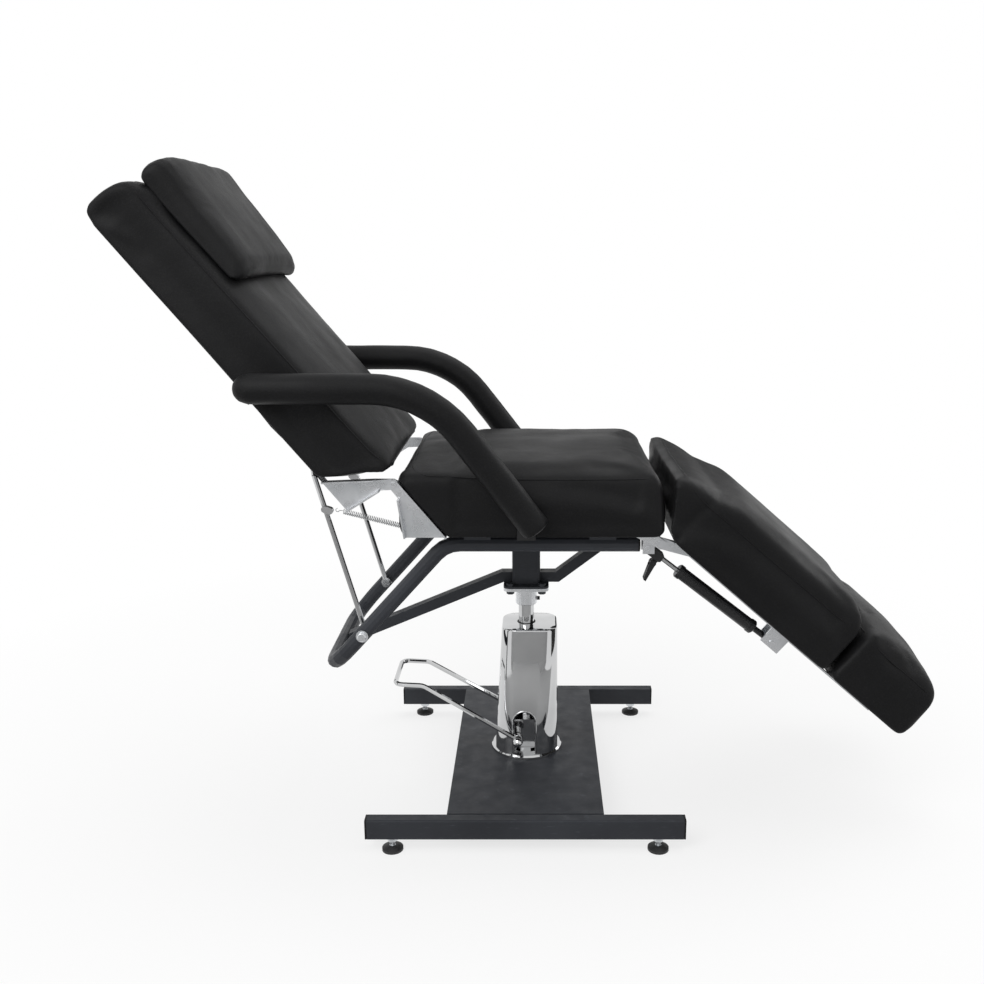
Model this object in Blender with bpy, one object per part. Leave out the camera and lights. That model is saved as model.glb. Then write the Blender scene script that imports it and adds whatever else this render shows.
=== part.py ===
"""Treatment couch on a foot-pumped column: padded seat, reclining back, tilting leg rest.

Metres, +Z up. The head end is at -X, the foot end at +X, the near side at -Y.
The couch stands on the floor at Z = 0. Every place below is counted from the lift
axis, and the empty named couch then carries the whole couch so that the origin lies
under the middle of its length. The couch is modelled at its most upright: the back
raised, the leg rest lowered, the lift down and the armrests up.
"""
import math

import bmesh
import bpy
from mathutils import Matrix, Vector

LIFT_AXIS_X = -0.0219
GAP = 0.0003
RUNNING_GAP = 0.0005

# Base frame on four levelling feet
BAR_LENGTH = 0.600
BAR_WIDTH = 0.025
BAR_HEIGHT = 0.040
BAR_WALL = 0.002
BAR_CORNER = 0.003
BAR_SPACING = 0.595
BAR_UNDERSIDE_Z = 0.026
PLUG_FACE = 0.003
PLUG_DEPTH = 0.014
PLATE_WIDTH = 0.296
PLATE_THICKNESS = 0.004
PLATE_LIP = 0.022
FOOT_INSET = 0.050
FOOT_RADIUS = 0.020
FOOT_PAD_HEIGHT = 0.009
STUD_RADIUS = 0.005
STUD_TOP_Z = 0.050
NUT_HEIGHT = 0.007
NUT_WIDTH = 0.017
FOOT_TRAVEL = 0.010

# Pump and lift
FLANGE_RADIUS = 0.0745
FLANGE_THICKNESS = 0.008
FLANGE_HUB_RADIUS = 0.044
FLANGE_HUB_HEIGHT = 0.004
FLANGE_BOLT_CIRCLE = 0.0585
FLANGE_BOLT_RADIUS = 0.004
COVER_BOTTOM_HALF = 0.0655
COVER_TOP_BACK_X = 0.0640
COVER_TOP_PEDAL_X = 0.0500
COVER_TOP_HALF_DEPTH = 0.056
COVER_CORNER_BOTTOM = 0.046
COVER_CORNER_TOP = 0.030
COVER_TOP_Z = 0.345
COVER_WALL = 0.002
COVER_EDGE = 0.004
COVER_HOLE_RADIUS = 0.0195
SLOT_WIDTH = 0.044
SLOT_CENTRE_X = -0.004
SLOT_TOP_Z = 0.168
SLOT_LIP = 0.005
CYLINDER_RADIUS = 0.028
CYLINDER_FLOOR = 0.012
ROD_RADIUS = 0.016
LIFT_TRAVEL = 0.150
PISTON_HEIGHT = 0.015
WIPER_RADIUS = 0.0185
WIPER_HEIGHT = 0.004
PUMP_BLOCK_X = 0.034
PUMP_BLOCK_Y = 0.038
PUMP_BLOCK_HEIGHT = 0.062

# Foot pedal
PEDAL_PIVOT_X = -0.018
PEDAL_PIVOT_Z = 0.112
PEDAL_RISE = 31.0
PEDAL_ARM = 0.226
PEDAL_TIP = 0.058
PEDAL_TIP_BEND = 28.0
PEDAL_ROD_RADIUS = 0.005
PEDAL_EYE_Y = 0.073
PEDAL_END_HALF = 0.064
PEDAL_EYE_RADIUS = 0.012
PEDAL_EYE_THICKNESS = 0.010
PEDAL_PIN_RADIUS = 0.005
PEDAL_BALL_RADIUS = 0.010

# Socket, mounting plates and post
SOCKET_RADIUS = 0.022
SOCKET_BOTTOM_Z = 0.386
SOCKET_TOP_Z = 0.424
SET_SCREW_RADIUS = 0.004
MOUNT_PLATE_SIZE = 0.092
MOUNT_PLATE_THICKNESS = 0.006
FOOT_PLATE_THICKNESS = 0.004
MOUNT_BOLT_X = 0.032
MOUNT_BOLT_Y = 0.038
MOUNT_BOLT_RADIUS = 0.004
POST_SIZE = 0.057
POST_WALL = 0.003
POST_CORNER = 0.005

# Seat frame: one bent tube, a cross member at the post and one at the front
RAIL_Y = 0.170
RAIL_RADIUS = 0.015
RAIL_WALL = 0.002
RAIL_CENTRE_Z = 0.5617
RAIL_FRONT_X = 0.2125
RAIL_BEND_X = -0.150
RAIL_DROP = 48.0
RAIL_END_Z = 0.306
RAIL_BEND_RADIUS = 0.060
RAIL_REAR_RADIUS = 0.070
RAIL_PLUG_FACE = 0.003
RAIL_PLUG_DEPTH = 0.015
CROSS_HEIGHT = 0.025
CROSS_WIDTH = 0.060
FRONT_CROSS_X = 0.195
FRONT_CROSS_WIDTH = 0.025
BRACE_HEIGHT = 0.021
BRACE_WIDTH = 0.025
BRACE_REAR_KNEE_X = -0.048
BRACE_FRONT_KNEE_X = 0.0635
SPACER_LENGTH = 0.050
SPACER_WIDTH = 0.022

# Upholstery, boards
CUSHION_HALF = 0.235
BOARD_SIDE_INSET = 0.023
BOARD_THICKNESS = 0.015
SIDE_ROUND = 0.022
CROWN_FADE = 0.012
SEAT_UNDERSIDE_Z = 0.590
SEAT_EDGE_Z = 0.7095
SEAT_CROWN = 0.013
SEAT_REAR_X = -0.2326
SEAT_FRONT_X = 0.2565
BOARD_INSET = 0.012

# Backrest, in its own axes: x towards the seat, z out of its face, from the hinge
HINGE_X = -0.2386
HINGE_Z = 0.6857
BACK_ANGLE = 49.5
BACK_RECLINE = 45.0
BACK_FACE = 0.0205
BACK_LENGTH = 0.697
BACK_UNDERSIDE_LOW = -0.0925
BACK_UNDERSIDE_HIGH = -0.0805
BACK_CROWN = 0.013
BACK_TOP_ROUND = 0.037
HINGE_EAR = 0.012
HINGE_CLEAR = 0.0015
HINGE_CUT_REACH = 0.0968
HINGE_SHEET = 0.003
HINGE_LIP = 0.016
HINGE_INNER_X = 0.0190
HINGE_BASE = 0.024
HINGE_TAIL = 0.070
HINGE_PIN_RADIUS = 0.004
BACK_BOARD_END = 0.668
PILLOW_HALF = 0.205
PILLOW_FRONT_X = -0.447
PILLOW_BACK_X = -0.690
PILLOW_THICKNESS = 0.050

# Recline support bail, its rack and its springs
BAIL_PIVOT_Z = 0.382
BAIL_LENGTH = 0.330
BAIL_LEAN = 15.45
BAIL_TURN = 35.5
BAIL_ROD_RADIUS = 0.005
BAIL_Y = 0.1485
BAIL_CORNER = 0.016
BAIL_EYE_RADIUS = 0.011
BAIL_EYE_THICKNESS = 0.008
BAIL_BOLT_RADIUS = 0.005
RACK_Y = 0.014
RACK_SHEET = 0.004
RACK_MARGIN = 0.007
RACK_NOTCHES = 14
RACK_NOTCH_DEPTH = 0.004
RACK_BASE = 0.020
SPRING_RING_UP = 0.251
SPRING_HOOK_X = -0.219
SPRING_HOOK_DROP = 0.010
SPRING_Y = 0.134
SPRING_RADIUS = 0.0055
SPRING_WIRE = 0.0010
SPRING_TURNS = 13
SPRING_END = 0.018

# Armrests
ARM_RADIUS = 0.0275
ARM_SIDE_GAP = 0.0075
ARM_FRONT_X = 0.002
ARM_PIVOT_RISE = 0.051
ARM_END_PAST_PIVOT = 0.034
ARM_SLOPE = 52.7
ARM_TOP_Z = 0.8665
ARM_REAR_X = -0.504
ARM_BEND_RADIUS = 0.200
ARM_PIN_RADIUS = 0.006
ARM_PIN_DEPTH = 0.020
ARM_REAR_PIN_RADIUS = 0.005
ARM_LINK_X = -0.2911
ARM_LINK_Z = -0.0593
ARM_PLATE = 0.003
ARM_PLATE_HALF = 0.017
ARM_PLATE_BASE = 0.020

# Leg rest, in its own axes: x towards the foot, z out of its face, from the hinge
LEG_HINGE_X = 0.252
LEG_HINGE_Z = 0.570
LEG_DROP = 41.0
LEG_UNDERSIDE = 0.020
LEG_FACE = 0.1465
LEG_CROWN = 0.016
LEG_START = 0.008
LEG_SPLIT = 0.400
SPLIT_HALF_GAP = 0.004
FOOT_FACE = 0.1390
FOOT_END = 0.603
KNEE_REACH = 0.0735
STRAP_WIDTH = 0.0145
STRAP_END = 0.520
LEG_EAR_RADIUS = 0.011
LEG_EAR_Y = 0.200
LEG_PIN_RADIUS = 0.004

# Gas spring under the leg rest, along its own x from its seat pivot
STRUT_Y = -0.170
STRUT_PIVOT_X = 0.229
STRUT_PIVOT_Z = 0.555
STRUT_LEG_X = 0.2964
STRUT_LEG_Z = -0.0096
STRUT_EYE_RADIUS = 0.009
STRUT_HEAD_HALF = 0.010
STRUT_HEAD_END = 0.036
STRUT_ROD_RADIUS = 0.0045
STRUT_TUBE_RADIUS = 0.0125
STRUT_TUBE_START = 0.074
STRUT_TUBE_END = 0.262
STRUT_COLLAR = 0.0015
STRUT_PIN_RADIUS = 0.004
CLEVIS_CLEARANCE = 0.0018
BRACKET_SHEET = 0.003
BRACKET_HALF = 0.0165
PADDLE_X = 0.027
PADDLE_DROP = 0.0165
PADDLE_LENGTH = 0.036
PADDLE_PIN_RADIUS = 0.002


def turn(x, z, degrees):
    """Turn a point of the XZ plane as a rotation about +Y does."""
    angle = math.radians(degrees)
    return (x * math.cos(angle) + z * math.sin(angle),
            z * math.cos(angle) - x * math.sin(angle))


def slope_of(start, end):
    """Degrees by which the line from start to end climbs in the XZ plane."""
    return math.degrees(math.atan2(end[1] - start[1], end[0] - start[0]))


PLATE_TOP_Z = BAR_UNDERSIDE_Z + BAR_HEIGHT
FLANGE_BOTTOM_Z = PLATE_TOP_Z + GAP
FLANGE_TOP_Z = FLANGE_BOTTOM_Z + FLANGE_THICKNESS
HUB_TOP_Z = FLANGE_TOP_Z + FLANGE_HUB_HEIGHT
CYLINDER_BOTTOM_Z = HUB_TOP_Z + GAP
CYLINDER_TOP_Z = COVER_TOP_Z - COVER_WALL - WIPER_HEIGHT / 2 - GAP
CYLINDER_BORE = ROD_RADIUS + RUNNING_GAP
PISTON_BOTTOM_Z = CYLINDER_BOTTOM_Z + CYLINDER_FLOOR + GAP
ROD_BOTTOM_Z = PISTON_BOTTOM_Z + PISTON_HEIGHT + GAP
MOUNT_PLATE_Z = SOCKET_TOP_Z + GAP
FOOT_PLATE_Z = MOUNT_PLATE_Z + MOUNT_PLATE_THICKNESS + GAP
POST_BOTTOM_Z = FOOT_PLATE_Z + FOOT_PLATE_THICKNESS + GAP
CROSS_BOTTOM_Z = RAIL_CENTRE_Z - CROSS_HEIGHT / 2
RAIL_TOP_Z = RAIL_CENTRE_Z + RAIL_RADIUS
RAIL_REAR_X = RAIL_BEND_X - (RAIL_CENTRE_Z - RAIL_END_Z) / math.tan(math.radians(RAIL_DROP))
BAIL_PIVOT_X = RAIL_BEND_X - (RAIL_CENTRE_Z - BAIL_PIVOT_Z) / math.tan(math.radians(RAIL_DROP))
BOARD_HALF = CUSHION_HALF - BOARD_SIDE_INSET
ARM_Y = CUSHION_HALF + ARM_SIDE_GAP + ARM_RADIUS
ARM_FRONT_Z = SEAT_UNDERSIDE_Z + ARM_PIVOT_RISE
BACK_WEB_Y = BOARD_HALF + GAP
SEAT_WEB_Y = BACK_WEB_Y + HINGE_SHEET + RUNNING_GAP


def back_place(x, z, recline=0.0):
    """Where a point of the backrest stands, seen from the lift axis."""
    across, up = turn(x, z, BACK_ANGLE - recline)
    return (HINGE_X + across, HINGE_Z + up)


def bail_bar_in_back(share):
    """The bail's top bar, in the backrest's axes, at a share of the full recline."""
    lean = math.radians(BAIL_LEAN + BAIL_TURN * share)
    across = BAIL_PIVOT_X - BAIL_LENGTH * math.sin(lean) - HINGE_X
    up = BAIL_PIVOT_Z + BAIL_LENGTH * math.cos(lean) - HINGE_Z
    return turn(across, up, -(BACK_ANGLE - BACK_RECLINE * share))


def arm_turn():
    """Degrees that an armrest swings while the back reclines all the way."""
    pivot = (ARM_FRONT_X, ARM_FRONT_Z)
    raised = slope_of(pivot, back_place(ARM_LINK_X, ARM_LINK_Z))
    lowered = slope_of(pivot, back_place(ARM_LINK_X, ARM_LINK_Z, BACK_RECLINE))
    return (lowered - raised) % 360.0


def link_pin_in_arm(share):
    """The back's link pin, from the armrest's front pivot and in the armrest's axes."""
    x, z = back_place(ARM_LINK_X, ARM_LINK_Z, BACK_RECLINE * share)
    return turn(x - ARM_FRONT_X, z - ARM_FRONT_Z, arm_turn() * share)


def leg_place(x, z, raised=0.0):
    """Where a point of the leg rest stands, seen from the lift axis."""
    across, up = turn(x, z, LEG_DROP - raised)
    return (LEG_HINGE_X + across, LEG_HINGE_Z + up)


for leftover in list(bpy.data.objects):
    bpy.data.objects.remove(leftover, do_unlink=True)


def paint(name, color, roughness, metallic=0.0):
    """A Principled material."""
    material = bpy.data.materials.new(name)
    material.use_nodes = True
    shader = material.node_tree.nodes["Principled BSDF"]
    shader.inputs["Base Color"].default_value = (*color, 1.0)
    shader.inputs["Roughness"].default_value = roughness
    shader.inputs["Metallic"].default_value = metallic
    return material


BLACK_VINYL = paint("black_vinyl", (0.020, 0.020, 0.021), 0.45)
GREY_STEEL = paint("grey_powder_coat", (0.052, 0.056, 0.064), 0.45)
CHROME = paint("chrome", (0.80, 0.81, 0.83), 0.08, 1.0)
ZINC = paint("bright_zinc", (0.72, 0.74, 0.76), 0.28, 1.0)
BLACK_STEEL = paint("black_steel", (0.015, 0.015, 0.016), 0.40, 0.3)
BLACK_PLASTIC = paint("black_plastic", (0.018, 0.018, 0.019), 0.50)
BOARD = paint("plywood", (0.36, 0.24, 0.13), 0.70)
SPRING_STEEL = paint("spring_steel", (0.62, 0.63, 0.64), 0.25, 1.0)


def carrier(name, x, z, y=0.0, degrees=0.0, parent=None):
    """An empty on a joint's axis, turned about +Y, that carries a moving body."""
    empty = bpy.data.objects.new(name, None)
    bpy.context.collection.objects.link(empty)
    empty.parent = parent
    empty.location = (x, y, z)
    empty.rotation_euler = (0.0, math.radians(degrees), 0.0)
    return empty


def piece(name, bm, material, parent, smooth=35.0):
    """Turn a bmesh into a named object under its carrier."""
    bmesh.ops.recalc_face_normals(bm, faces=bm.faces)
    mesh = bpy.data.meshes.new(name)
    bm.to_mesh(mesh)
    bm.free()
    mesh.materials.append(material)
    mesh.shade_smooth()
    mesh.set_sharp_from_angle(angle=math.radians(smooth))
    part = bpy.data.objects.new(name, mesh)
    bpy.context.collection.objects.link(part)
    part.parent = parent
    return part


def tool(name, bm, parent):
    """A hidden cutter or joining shape."""
    shape = piece(name, bm, BLACK_STEEL, parent)
    shape.hide_render = True
    shape.display_type = "WIRE"
    return shape


def combine(target, shape, operation):
    """Cut a hidden shape from a piece, or join it to the piece."""
    modifier = target.modifiers.new(operation.lower() + "_" + shape.name, "BOOLEAN")
    modifier.operation = operation
    modifier.solver = "EXACT"
    modifier.object = shape


def on_axis(axis, across, up, along):
    """A point from two flat coordinates and the distance along the axis they stand on."""
    if axis == "X":
        return Vector((along, across, up))
    if axis == "Y":
        return Vector((across, along, up))
    return Vector((across, up, along))


def prism(bm, outline, low, high, axis="Y", holes=()):
    """Extrude a flat outline, with its holes, from low to high along an axis."""
    edges = []
    for loop in (outline, *holes):
        verts = [bm.verts.new(on_axis(axis, a, b, low)) for a, b in loop]
        edges += [bm.edges.new((verts[i - 1], verts[i])) for i in range(len(verts))]
    filled = bmesh.ops.triangle_fill(bm, use_beauty=True, use_dissolve=False, edges=edges)
    faces = [item for item in filled["geom"] if isinstance(item, bmesh.types.BMFace)]
    raised = bmesh.ops.extrude_face_region(bm, geom=faces)["geom"]
    top = [item for item in raised if isinstance(item, bmesh.types.BMVert)]
    bmesh.ops.translate(bm, vec=on_axis(axis, 0.0, 0.0, high - low), verts=top)


def circle(across, up, radius, count=16, start=0.0):
    """Points of a circle in a flat plane."""
    step = 2.0 * math.pi / count
    return [(across + radius * math.cos(start + i * step),
             up + radius * math.sin(start + i * step)) for i in range(count)]


def arc(across, up, radius, first, last, count):
    """Points of an arc, from one angle to another in degrees, ends included."""
    angles = [math.radians(first + (last - first) * i / (count - 1)) for i in range(count)]
    return [(across + radius * math.cos(a), up + radius * math.sin(a)) for a in angles]


def rounded_box(half_a, half_b, corner, count=4, middle=(0.0, 0.0)):
    """Outline of a rectangle with round corners."""
    points = []
    for sign_a, sign_b, first in ((1, 1, 0), (-1, 1, 90), (-1, -1, 180), (1, -1, 270)):
        points += arc(middle[0] + sign_a * (half_a - corner), middle[1] + sign_b * (half_b - corner),
                      corner, first, first + 90, count)
    return points


def stadium(start, end, radius, count=7):
    """Outline of a slot with round ends, between two flat points."""
    heading = slope_of(start, end)
    return (arc(start[0], start[1], radius, heading + 90, heading + 270, count)
            + arc(end[0], end[1], radius, heading - 90, heading + 90, count))


def loft(bm, rings, closed=False):
    """Skin a row of equal rings and cap its ends, or join the last ring to the first."""
    rows = [[bm.verts.new(point) for point in ring] for ring in rings]
    pairs = list(zip(rows, rows[1:]))
    if closed:
        pairs.append((rows[-1], rows[0]))
    for lower, upper in pairs:
        for i in range(len(lower)):
            bm.faces.new((lower[i - 1], lower[i], upper[i], upper[i - 1]))
    if not closed:
        bm.faces.new(rows[0])
        bm.faces.new(rows[-1])


def turned(bm, profile, count=24, axis="Z", middle=(0.0, 0.0, 0.0)):
    """Revolve a profile of (radius, height) round an axis; a closed profile makes a ring."""
    middle = Vector(middle)
    rows = []
    for radius, height in profile:
        if radius == 0.0:
            rows.append([bm.verts.new(middle + on_axis(axis, 0.0, 0.0, height))])
            continue
        rows.append([bm.verts.new(middle + on_axis(axis, a, b, height))
                     for a, b in circle(0.0, 0.0, radius, count)])
    pairs = list(zip(rows, rows[1:]))
    if profile[0][0] != 0.0:
        pairs.append((rows[-1], rows[0]))
    for lower, upper in pairs:
        for i in range(count):
            corners = [lower[i - 1], lower[i]] if len(lower) > 1 else [lower[0]]
            corners += [upper[i], upper[i - 1]] if len(upper) > 1 else [upper[0]]
            bm.faces.new(corners)


def rod(bm, radius, low, high, count=16, axis="Z", middle=(0.0, 0.0, 0.0), chamfer=0.0):
    """A plain round bar, its ends chamfered if asked."""
    if chamfer:
        profile = [(0.0, low), (radius - chamfer, low), (radius, low + chamfer),
                   (radius, high - chamfer), (radius - chamfer, high), (0.0, high)]
    else:
        profile = [(0.0, low), (radius, low), (radius, high), (0.0, high)]
    turned(bm, profile, count, axis, middle)


def bent_path(corners, radii, steps):
    """A polyline through 3-D corners, with an arc at each inner corner."""
    corners = [Vector(corner) for corner in corners]
    path = [corners[0]]
    for before, here, after, radius, step in zip(corners, corners[1:], corners[2:], radii, steps):
        back = (before - here).normalized()
        ahead = (after - here).normalized()
        half = back.angle(ahead) / 2.0
        reach = radius / math.tan(half)
        centre = here + (back + ahead).normalized() * (radius / math.sin(half))
        first = here + back * reach - centre
        last = here + ahead * reach - centre
        spread = first.angle(last)
        for i in range(step + 1):
            share = i / step
            mix = (first * math.sin((1 - share) * spread) + last * math.sin(share * spread))
            path.append(centre + mix / math.sin(spread))
    path.append(corners[-1])
    return path


def tube_rings(path, radius, count):
    """Rings of a round bar along a path, carried along without twist."""
    rings = []
    ahead = (path[1] - path[0]).normalized()
    side = ahead.orthogonal().normalized()
    for i, point in enumerate(path):
        before = (point - path[i - 1]).normalized() if i else ahead
        after = (path[i + 1] - point).normalized() if i + 1 < len(path) else before
        here = (before + after).normalized()
        side = (side - here * side.dot(here)).normalized()
        other = here.cross(side)
        rings.append([point + side * a + other * b for a, b in circle(0.0, 0.0, radius, count)])
    return rings


def sweep(bm, path, radius, count=12, wall=0.0):
    """A round bar along a path, or a tube open at both ends where a wall is given."""
    outer = tube_rings(path, radius, count)
    if not wall:
        loft(bm, outer)
        return
    inner = tube_rings(path, radius - wall, count)
    loft(bm, outer + inner[::-1], closed=True)


def hexagon(width):
    """Outline of a hexagon by its width across the flats."""
    return circle(0.0, 0.0, width / math.sqrt(3.0), 6)


def shifted(outline, across, up):
    """An outline moved in its plane."""
    return [(a + across, b + up) for a, b in outline]


def bolt(bm, x, y, shank, nut_top, head_base):
    """An upright hexagon bolt with its nut, sunk slightly into the plate under its head."""
    wide = 2.0 * shank
    nut = shank * 1.4
    profile = [(0.0, nut_top - nut), (wide, nut_top - nut), (wide, nut_top), (shank, nut_top),
               (shank, head_base - 0.0005), (wide, head_base - 0.0005), (wide, head_base + nut),
               (0.0, head_base + nut)]
    turned(bm, profile, 6, "Z", (x, y, 0.0))


def cushion(bm, outline, crown, face_level):
    """A stuffed block: an XZ outline across the couch, its face crowned, its sides rounded."""
    middle_a = sum(a for a, b in outline) / len(outline)
    middle_b = sum(b for a, b in outline) / len(outline)
    rounding = [(-CUSHION_HALF, SIDE_ROUND), (-CUSHION_HALF + 0.13 * SIDE_ROUND, 0.51 * SIDE_ROUND),
                (-CUSHION_HALF + 0.4 * SIDE_ROUND, 0.2 * SIDE_ROUND)]
    rounding += [(-CUSHION_HALF + SIDE_ROUND, 0.0), (-0.5 * CUSHION_HALF, 0.0), (0.0, 0.0)]
    stations = rounding + [(-y, inset) for y, inset in reversed(rounding[:-1])]
    rings = []
    for y, inset in stations:
        swell = crown * (1.0 - (y / CUSHION_HALF) ** 2)
        ring = []
        for a, b in outline:
            away = Vector((middle_a - a, middle_b - b))
            step_a = math.copysign(min(inset, abs(away.x)), away.x)
            step_b = math.copysign(min(inset, abs(away.y)), away.y)
            if b < middle_b:
                step_b = 0.0
            raise_face = max(0.0, 1.0 - abs(b - face_level) / CROWN_FADE) * swell
            ring.append(Vector((a + step_a * 0.5, y, b + step_b + raise_face)))
        rings.append(ring)
    loft(bm, rings)


def folded_sheet(name, side, web, edges, holes, web_y, sheet, material, parent):
    """A sheet-metal plate in the XZ plane, with lips folded along some edges of its web.

    edges maps the number of an outline edge to how far its lip runs outwards along Y and how
    far it runs on past the edge's end; web_y is the middle of the sheet.
    """
    bm = bmesh.new()
    flat = []
    lines = []
    for loop in (web, *holes):
        verts = [bm.verts.new((a, side * web_y, b)) for a, b in loop]
        flat.append(verts)
        lines += [bm.edges.new((verts[i], verts[(i + 1) % len(verts)])) for i in range(len(verts))]
    bmesh.ops.triangle_fill(bm, use_beauty=True, use_dissolve=False, edges=lines)
    outline = flat[0]
    for number, (reach, tail) in edges.items():
        first = outline[number]
        second = outline[(number + 1) % len(outline)]
        along = (second.co - first.co).normalized()
        out = Vector((0.0, side * reach, 0.0))
        corners = [first, second]
        if tail > 0.0:
            corners.append(bm.verts.new(second.co + along * tail))
        corners.append(bm.verts.new(second.co + along * max(tail, 0.0) + out))
        corners.append(bm.verts.new(first.co + along * min(tail, 0.0) + out))
        if tail < 0.0:
            corners.append(bm.verts.new(first.co + along * tail))
        bm.faces.new(corners)
    bmesh.ops.remove_doubles(bm, verts=bm.verts, dist=0.00001)
    bmesh.ops.recalc_face_normals(bm, faces=bm.faces)
    mesh = bpy.data.meshes.new(name)
    bm.to_mesh(mesh)
    bm.free()
    mesh.materials.append(material)
    plate = bpy.data.objects.new(name, mesh)
    bpy.context.collection.objects.link(plate)
    plate.parent = parent
    thicken = plate.modifiers.new("sheet", "SOLIDIFY")
    thicken.solidify_mode = "NON_MANIFOLD"
    thicken.nonmanifold_thickness_mode = "CONSTRAINTS"
    thicken.thickness = sheet
    thicken.offset = 0.0
    return plate


def headed_pin(shape, x, z, radius, head, start, end):
    """A pin along Y with a flat head at each end."""
    side = 1 if end > start else -1
    turned(shape, [(0.0, start), (head, start), (head, start + side * 0.0025), (radius, start + side * 0.0025),
                   (radius, end - side * 0.0025), (head, end - side * 0.0025), (head, end), (0.0, end)],
           12, "Y", (x, 0.0, z))


couch = carrier("couch", LIFT_AXIS_X, 0.0)
SIDES = (("left", -1), ("right", 1))


# Base: two closed tube bars with lock nuts under them, a folded plate between, four feet
bar_y = BAR_SPACING / 2.0
bar_middle_z = BAR_UNDERSIDE_Z + BAR_HEIGHT / 2.0
foot_x = BAR_LENGTH / 2.0 - FOOT_INSET
stud_bore = STUD_RADIUS + GAP
for name, side in SIDES:
    middle = (side * bar_y, bar_middle_z)
    plug_start = BAR_LENGTH / 2 - PLUG_FACE
    plug_end = BAR_LENGTH / 2
    bm = bmesh.new()
    face = rounded_box(BAR_WIDTH / 2, BAR_HEIGHT / 2, BAR_CORNER, 3, middle)
    groove = rounded_box(BAR_WIDTH / 2 - 0.0006, BAR_HEIGHT / 2 - 0.0006, BAR_CORNER, 3, middle)
    levels = ((face, -plug_end), (face, -plug_start), (groove, -plug_start), (groove, 0.0008 - plug_start),
              (face, 0.0008 - plug_start), (face, plug_start - 0.0008), (groove, plug_start - 0.0008),
              (groove, plug_start), (face, plug_start), (face, plug_end))
    loft(bm, [[on_axis("X", a, b, x) for a, b in ring] for ring, x in levels])
    bar = piece("base_bar_" + name, bm, GREY_STEEL, couch)
    bm = bmesh.new()
    hollow = rounded_box(BAR_WIDTH / 2 - BAR_WALL, BAR_HEIGHT / 2 - BAR_WALL, BAR_CORNER - BAR_WALL / 2, 3, middle)
    prism(bm, hollow, PLUG_DEPTH - plug_end, plug_end - PLUG_DEPTH, "X")
    combine(bar, tool("bar_hollow_" + name, bm, couch), "DIFFERENCE")
    nuts = bmesh.new()
    bores = bmesh.new()
    for x in (-foot_x, foot_x):
        prism(nuts, shifted(hexagon(NUT_WIDTH), x, side * bar_y), BAR_UNDERSIDE_Z - NUT_HEIGHT,
              BAR_UNDERSIDE_Z + BAR_WALL / 2, "Z")
        rod(bores, stud_bore, BAR_UNDERSIDE_Z - 2 * NUT_HEIGHT, BAR_UNDERSIDE_Z + 2 * BAR_WALL, 16, "Z",
            (x, side * bar_y, 0.0))
    combine(bar, tool("lock_nuts_" + name, nuts, couch), "UNION")
    combine(bar, tool("stud_bores_" + name, bores, couch), "DIFFERENCE")

bm = bmesh.new()
half = PLATE_WIDTH / 2
low = PLATE_TOP_Z - PLATE_LIP
under = PLATE_TOP_Z - PLATE_THICKNESS
channel = [(-half, low), (-half, PLATE_TOP_Z), (half, PLATE_TOP_Z), (half, low),
           (half - PLATE_THICKNESS, low), (half - PLATE_THICKNESS, under),
           (-half + PLATE_THICKNESS, under), (-half + PLATE_THICKNESS, low)]
plate_end = bar_y - BAR_WIDTH / 2 - GAP
prism(bm, channel, -plate_end, plate_end, "Y")
base_plate = piece("base_plate", bm, GREY_STEEL, couch)

FLANGE_BOLTS = circle(0.0, 0.0, FLANGE_BOLT_CIRCLE, 4, math.pi / 4)
bm = bmesh.new()
for x, y in FLANGE_BOLTS:
    rod(bm, FLANGE_BOLT_RADIUS + GAP, under - 0.01, PLATE_TOP_Z + 0.01, 12, "Z", (x, y, 0.0))
combine(base_plate, tool("flange_drill", bm, couch), "DIFFERENCE")

foot_profile = [(0.0, 0.0), (FOOT_RADIUS, 0.0), (FOOT_RADIUS, 0.55 * FOOT_PAD_HEIGHT),
                (0.5 * FOOT_RADIUS, FOOT_PAD_HEIGHT), (STUD_RADIUS, FOOT_PAD_HEIGHT + 0.001),
                (STUD_RADIUS, STUD_TOP_Z), (0.0, STUD_TOP_Z)]
number = 0
for side in (-1, 1):
    for x in (-foot_x, foot_x):
        number += 1
        bm = bmesh.new()
        foot_carrier = carrier("foot_carrier_%d" % number, x, 0.0, side * bar_y, 0.0, couch)
        turned(bm, foot_profile, 20)
        piece("levelling_foot_%d" % number, bm, BLACK_PLASTIC, foot_carrier)


# Pump: flange bolted to the plate, cylinder, lower block with the pedal pins, chrome cover
bm = bmesh.new()
turned(bm, [(0.0, FLANGE_BOTTOM_Z), (FLANGE_RADIUS, FLANGE_BOTTOM_Z),
            (FLANGE_RADIUS, FLANGE_TOP_Z - 0.003), (FLANGE_RADIUS - 0.003, FLANGE_TOP_Z),
            (FLANGE_HUB_RADIUS, FLANGE_TOP_Z), (FLANGE_HUB_RADIUS, HUB_TOP_Z), (0.0, HUB_TOP_Z)], 32)
flange = piece("pump_flange", bm, CHROME, couch)
bm = bmesh.new()
for x, y in FLANGE_BOLTS:
    bolt(bm, x, y, FLANGE_BOLT_RADIUS, under - GAP, FLANGE_TOP_Z)
combine(flange, tool("flange_bolts", bm, couch), "UNION")

bm = bmesh.new()
turned(bm, [(0.0, CYLINDER_BOTTOM_Z), (CYLINDER_RADIUS, CYLINDER_BOTTOM_Z),
            (CYLINDER_RADIUS, CYLINDER_TOP_Z), (CYLINDER_BORE, CYLINDER_TOP_Z),
            (CYLINDER_BORE, CYLINDER_BOTTOM_Z + CYLINDER_FLOOR),
            (0.0, CYLINDER_BOTTOM_Z + CYLINDER_FLOOR)], 24)
pump = piece("pump_housing", bm, BLACK_STEEL, couch)

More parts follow.
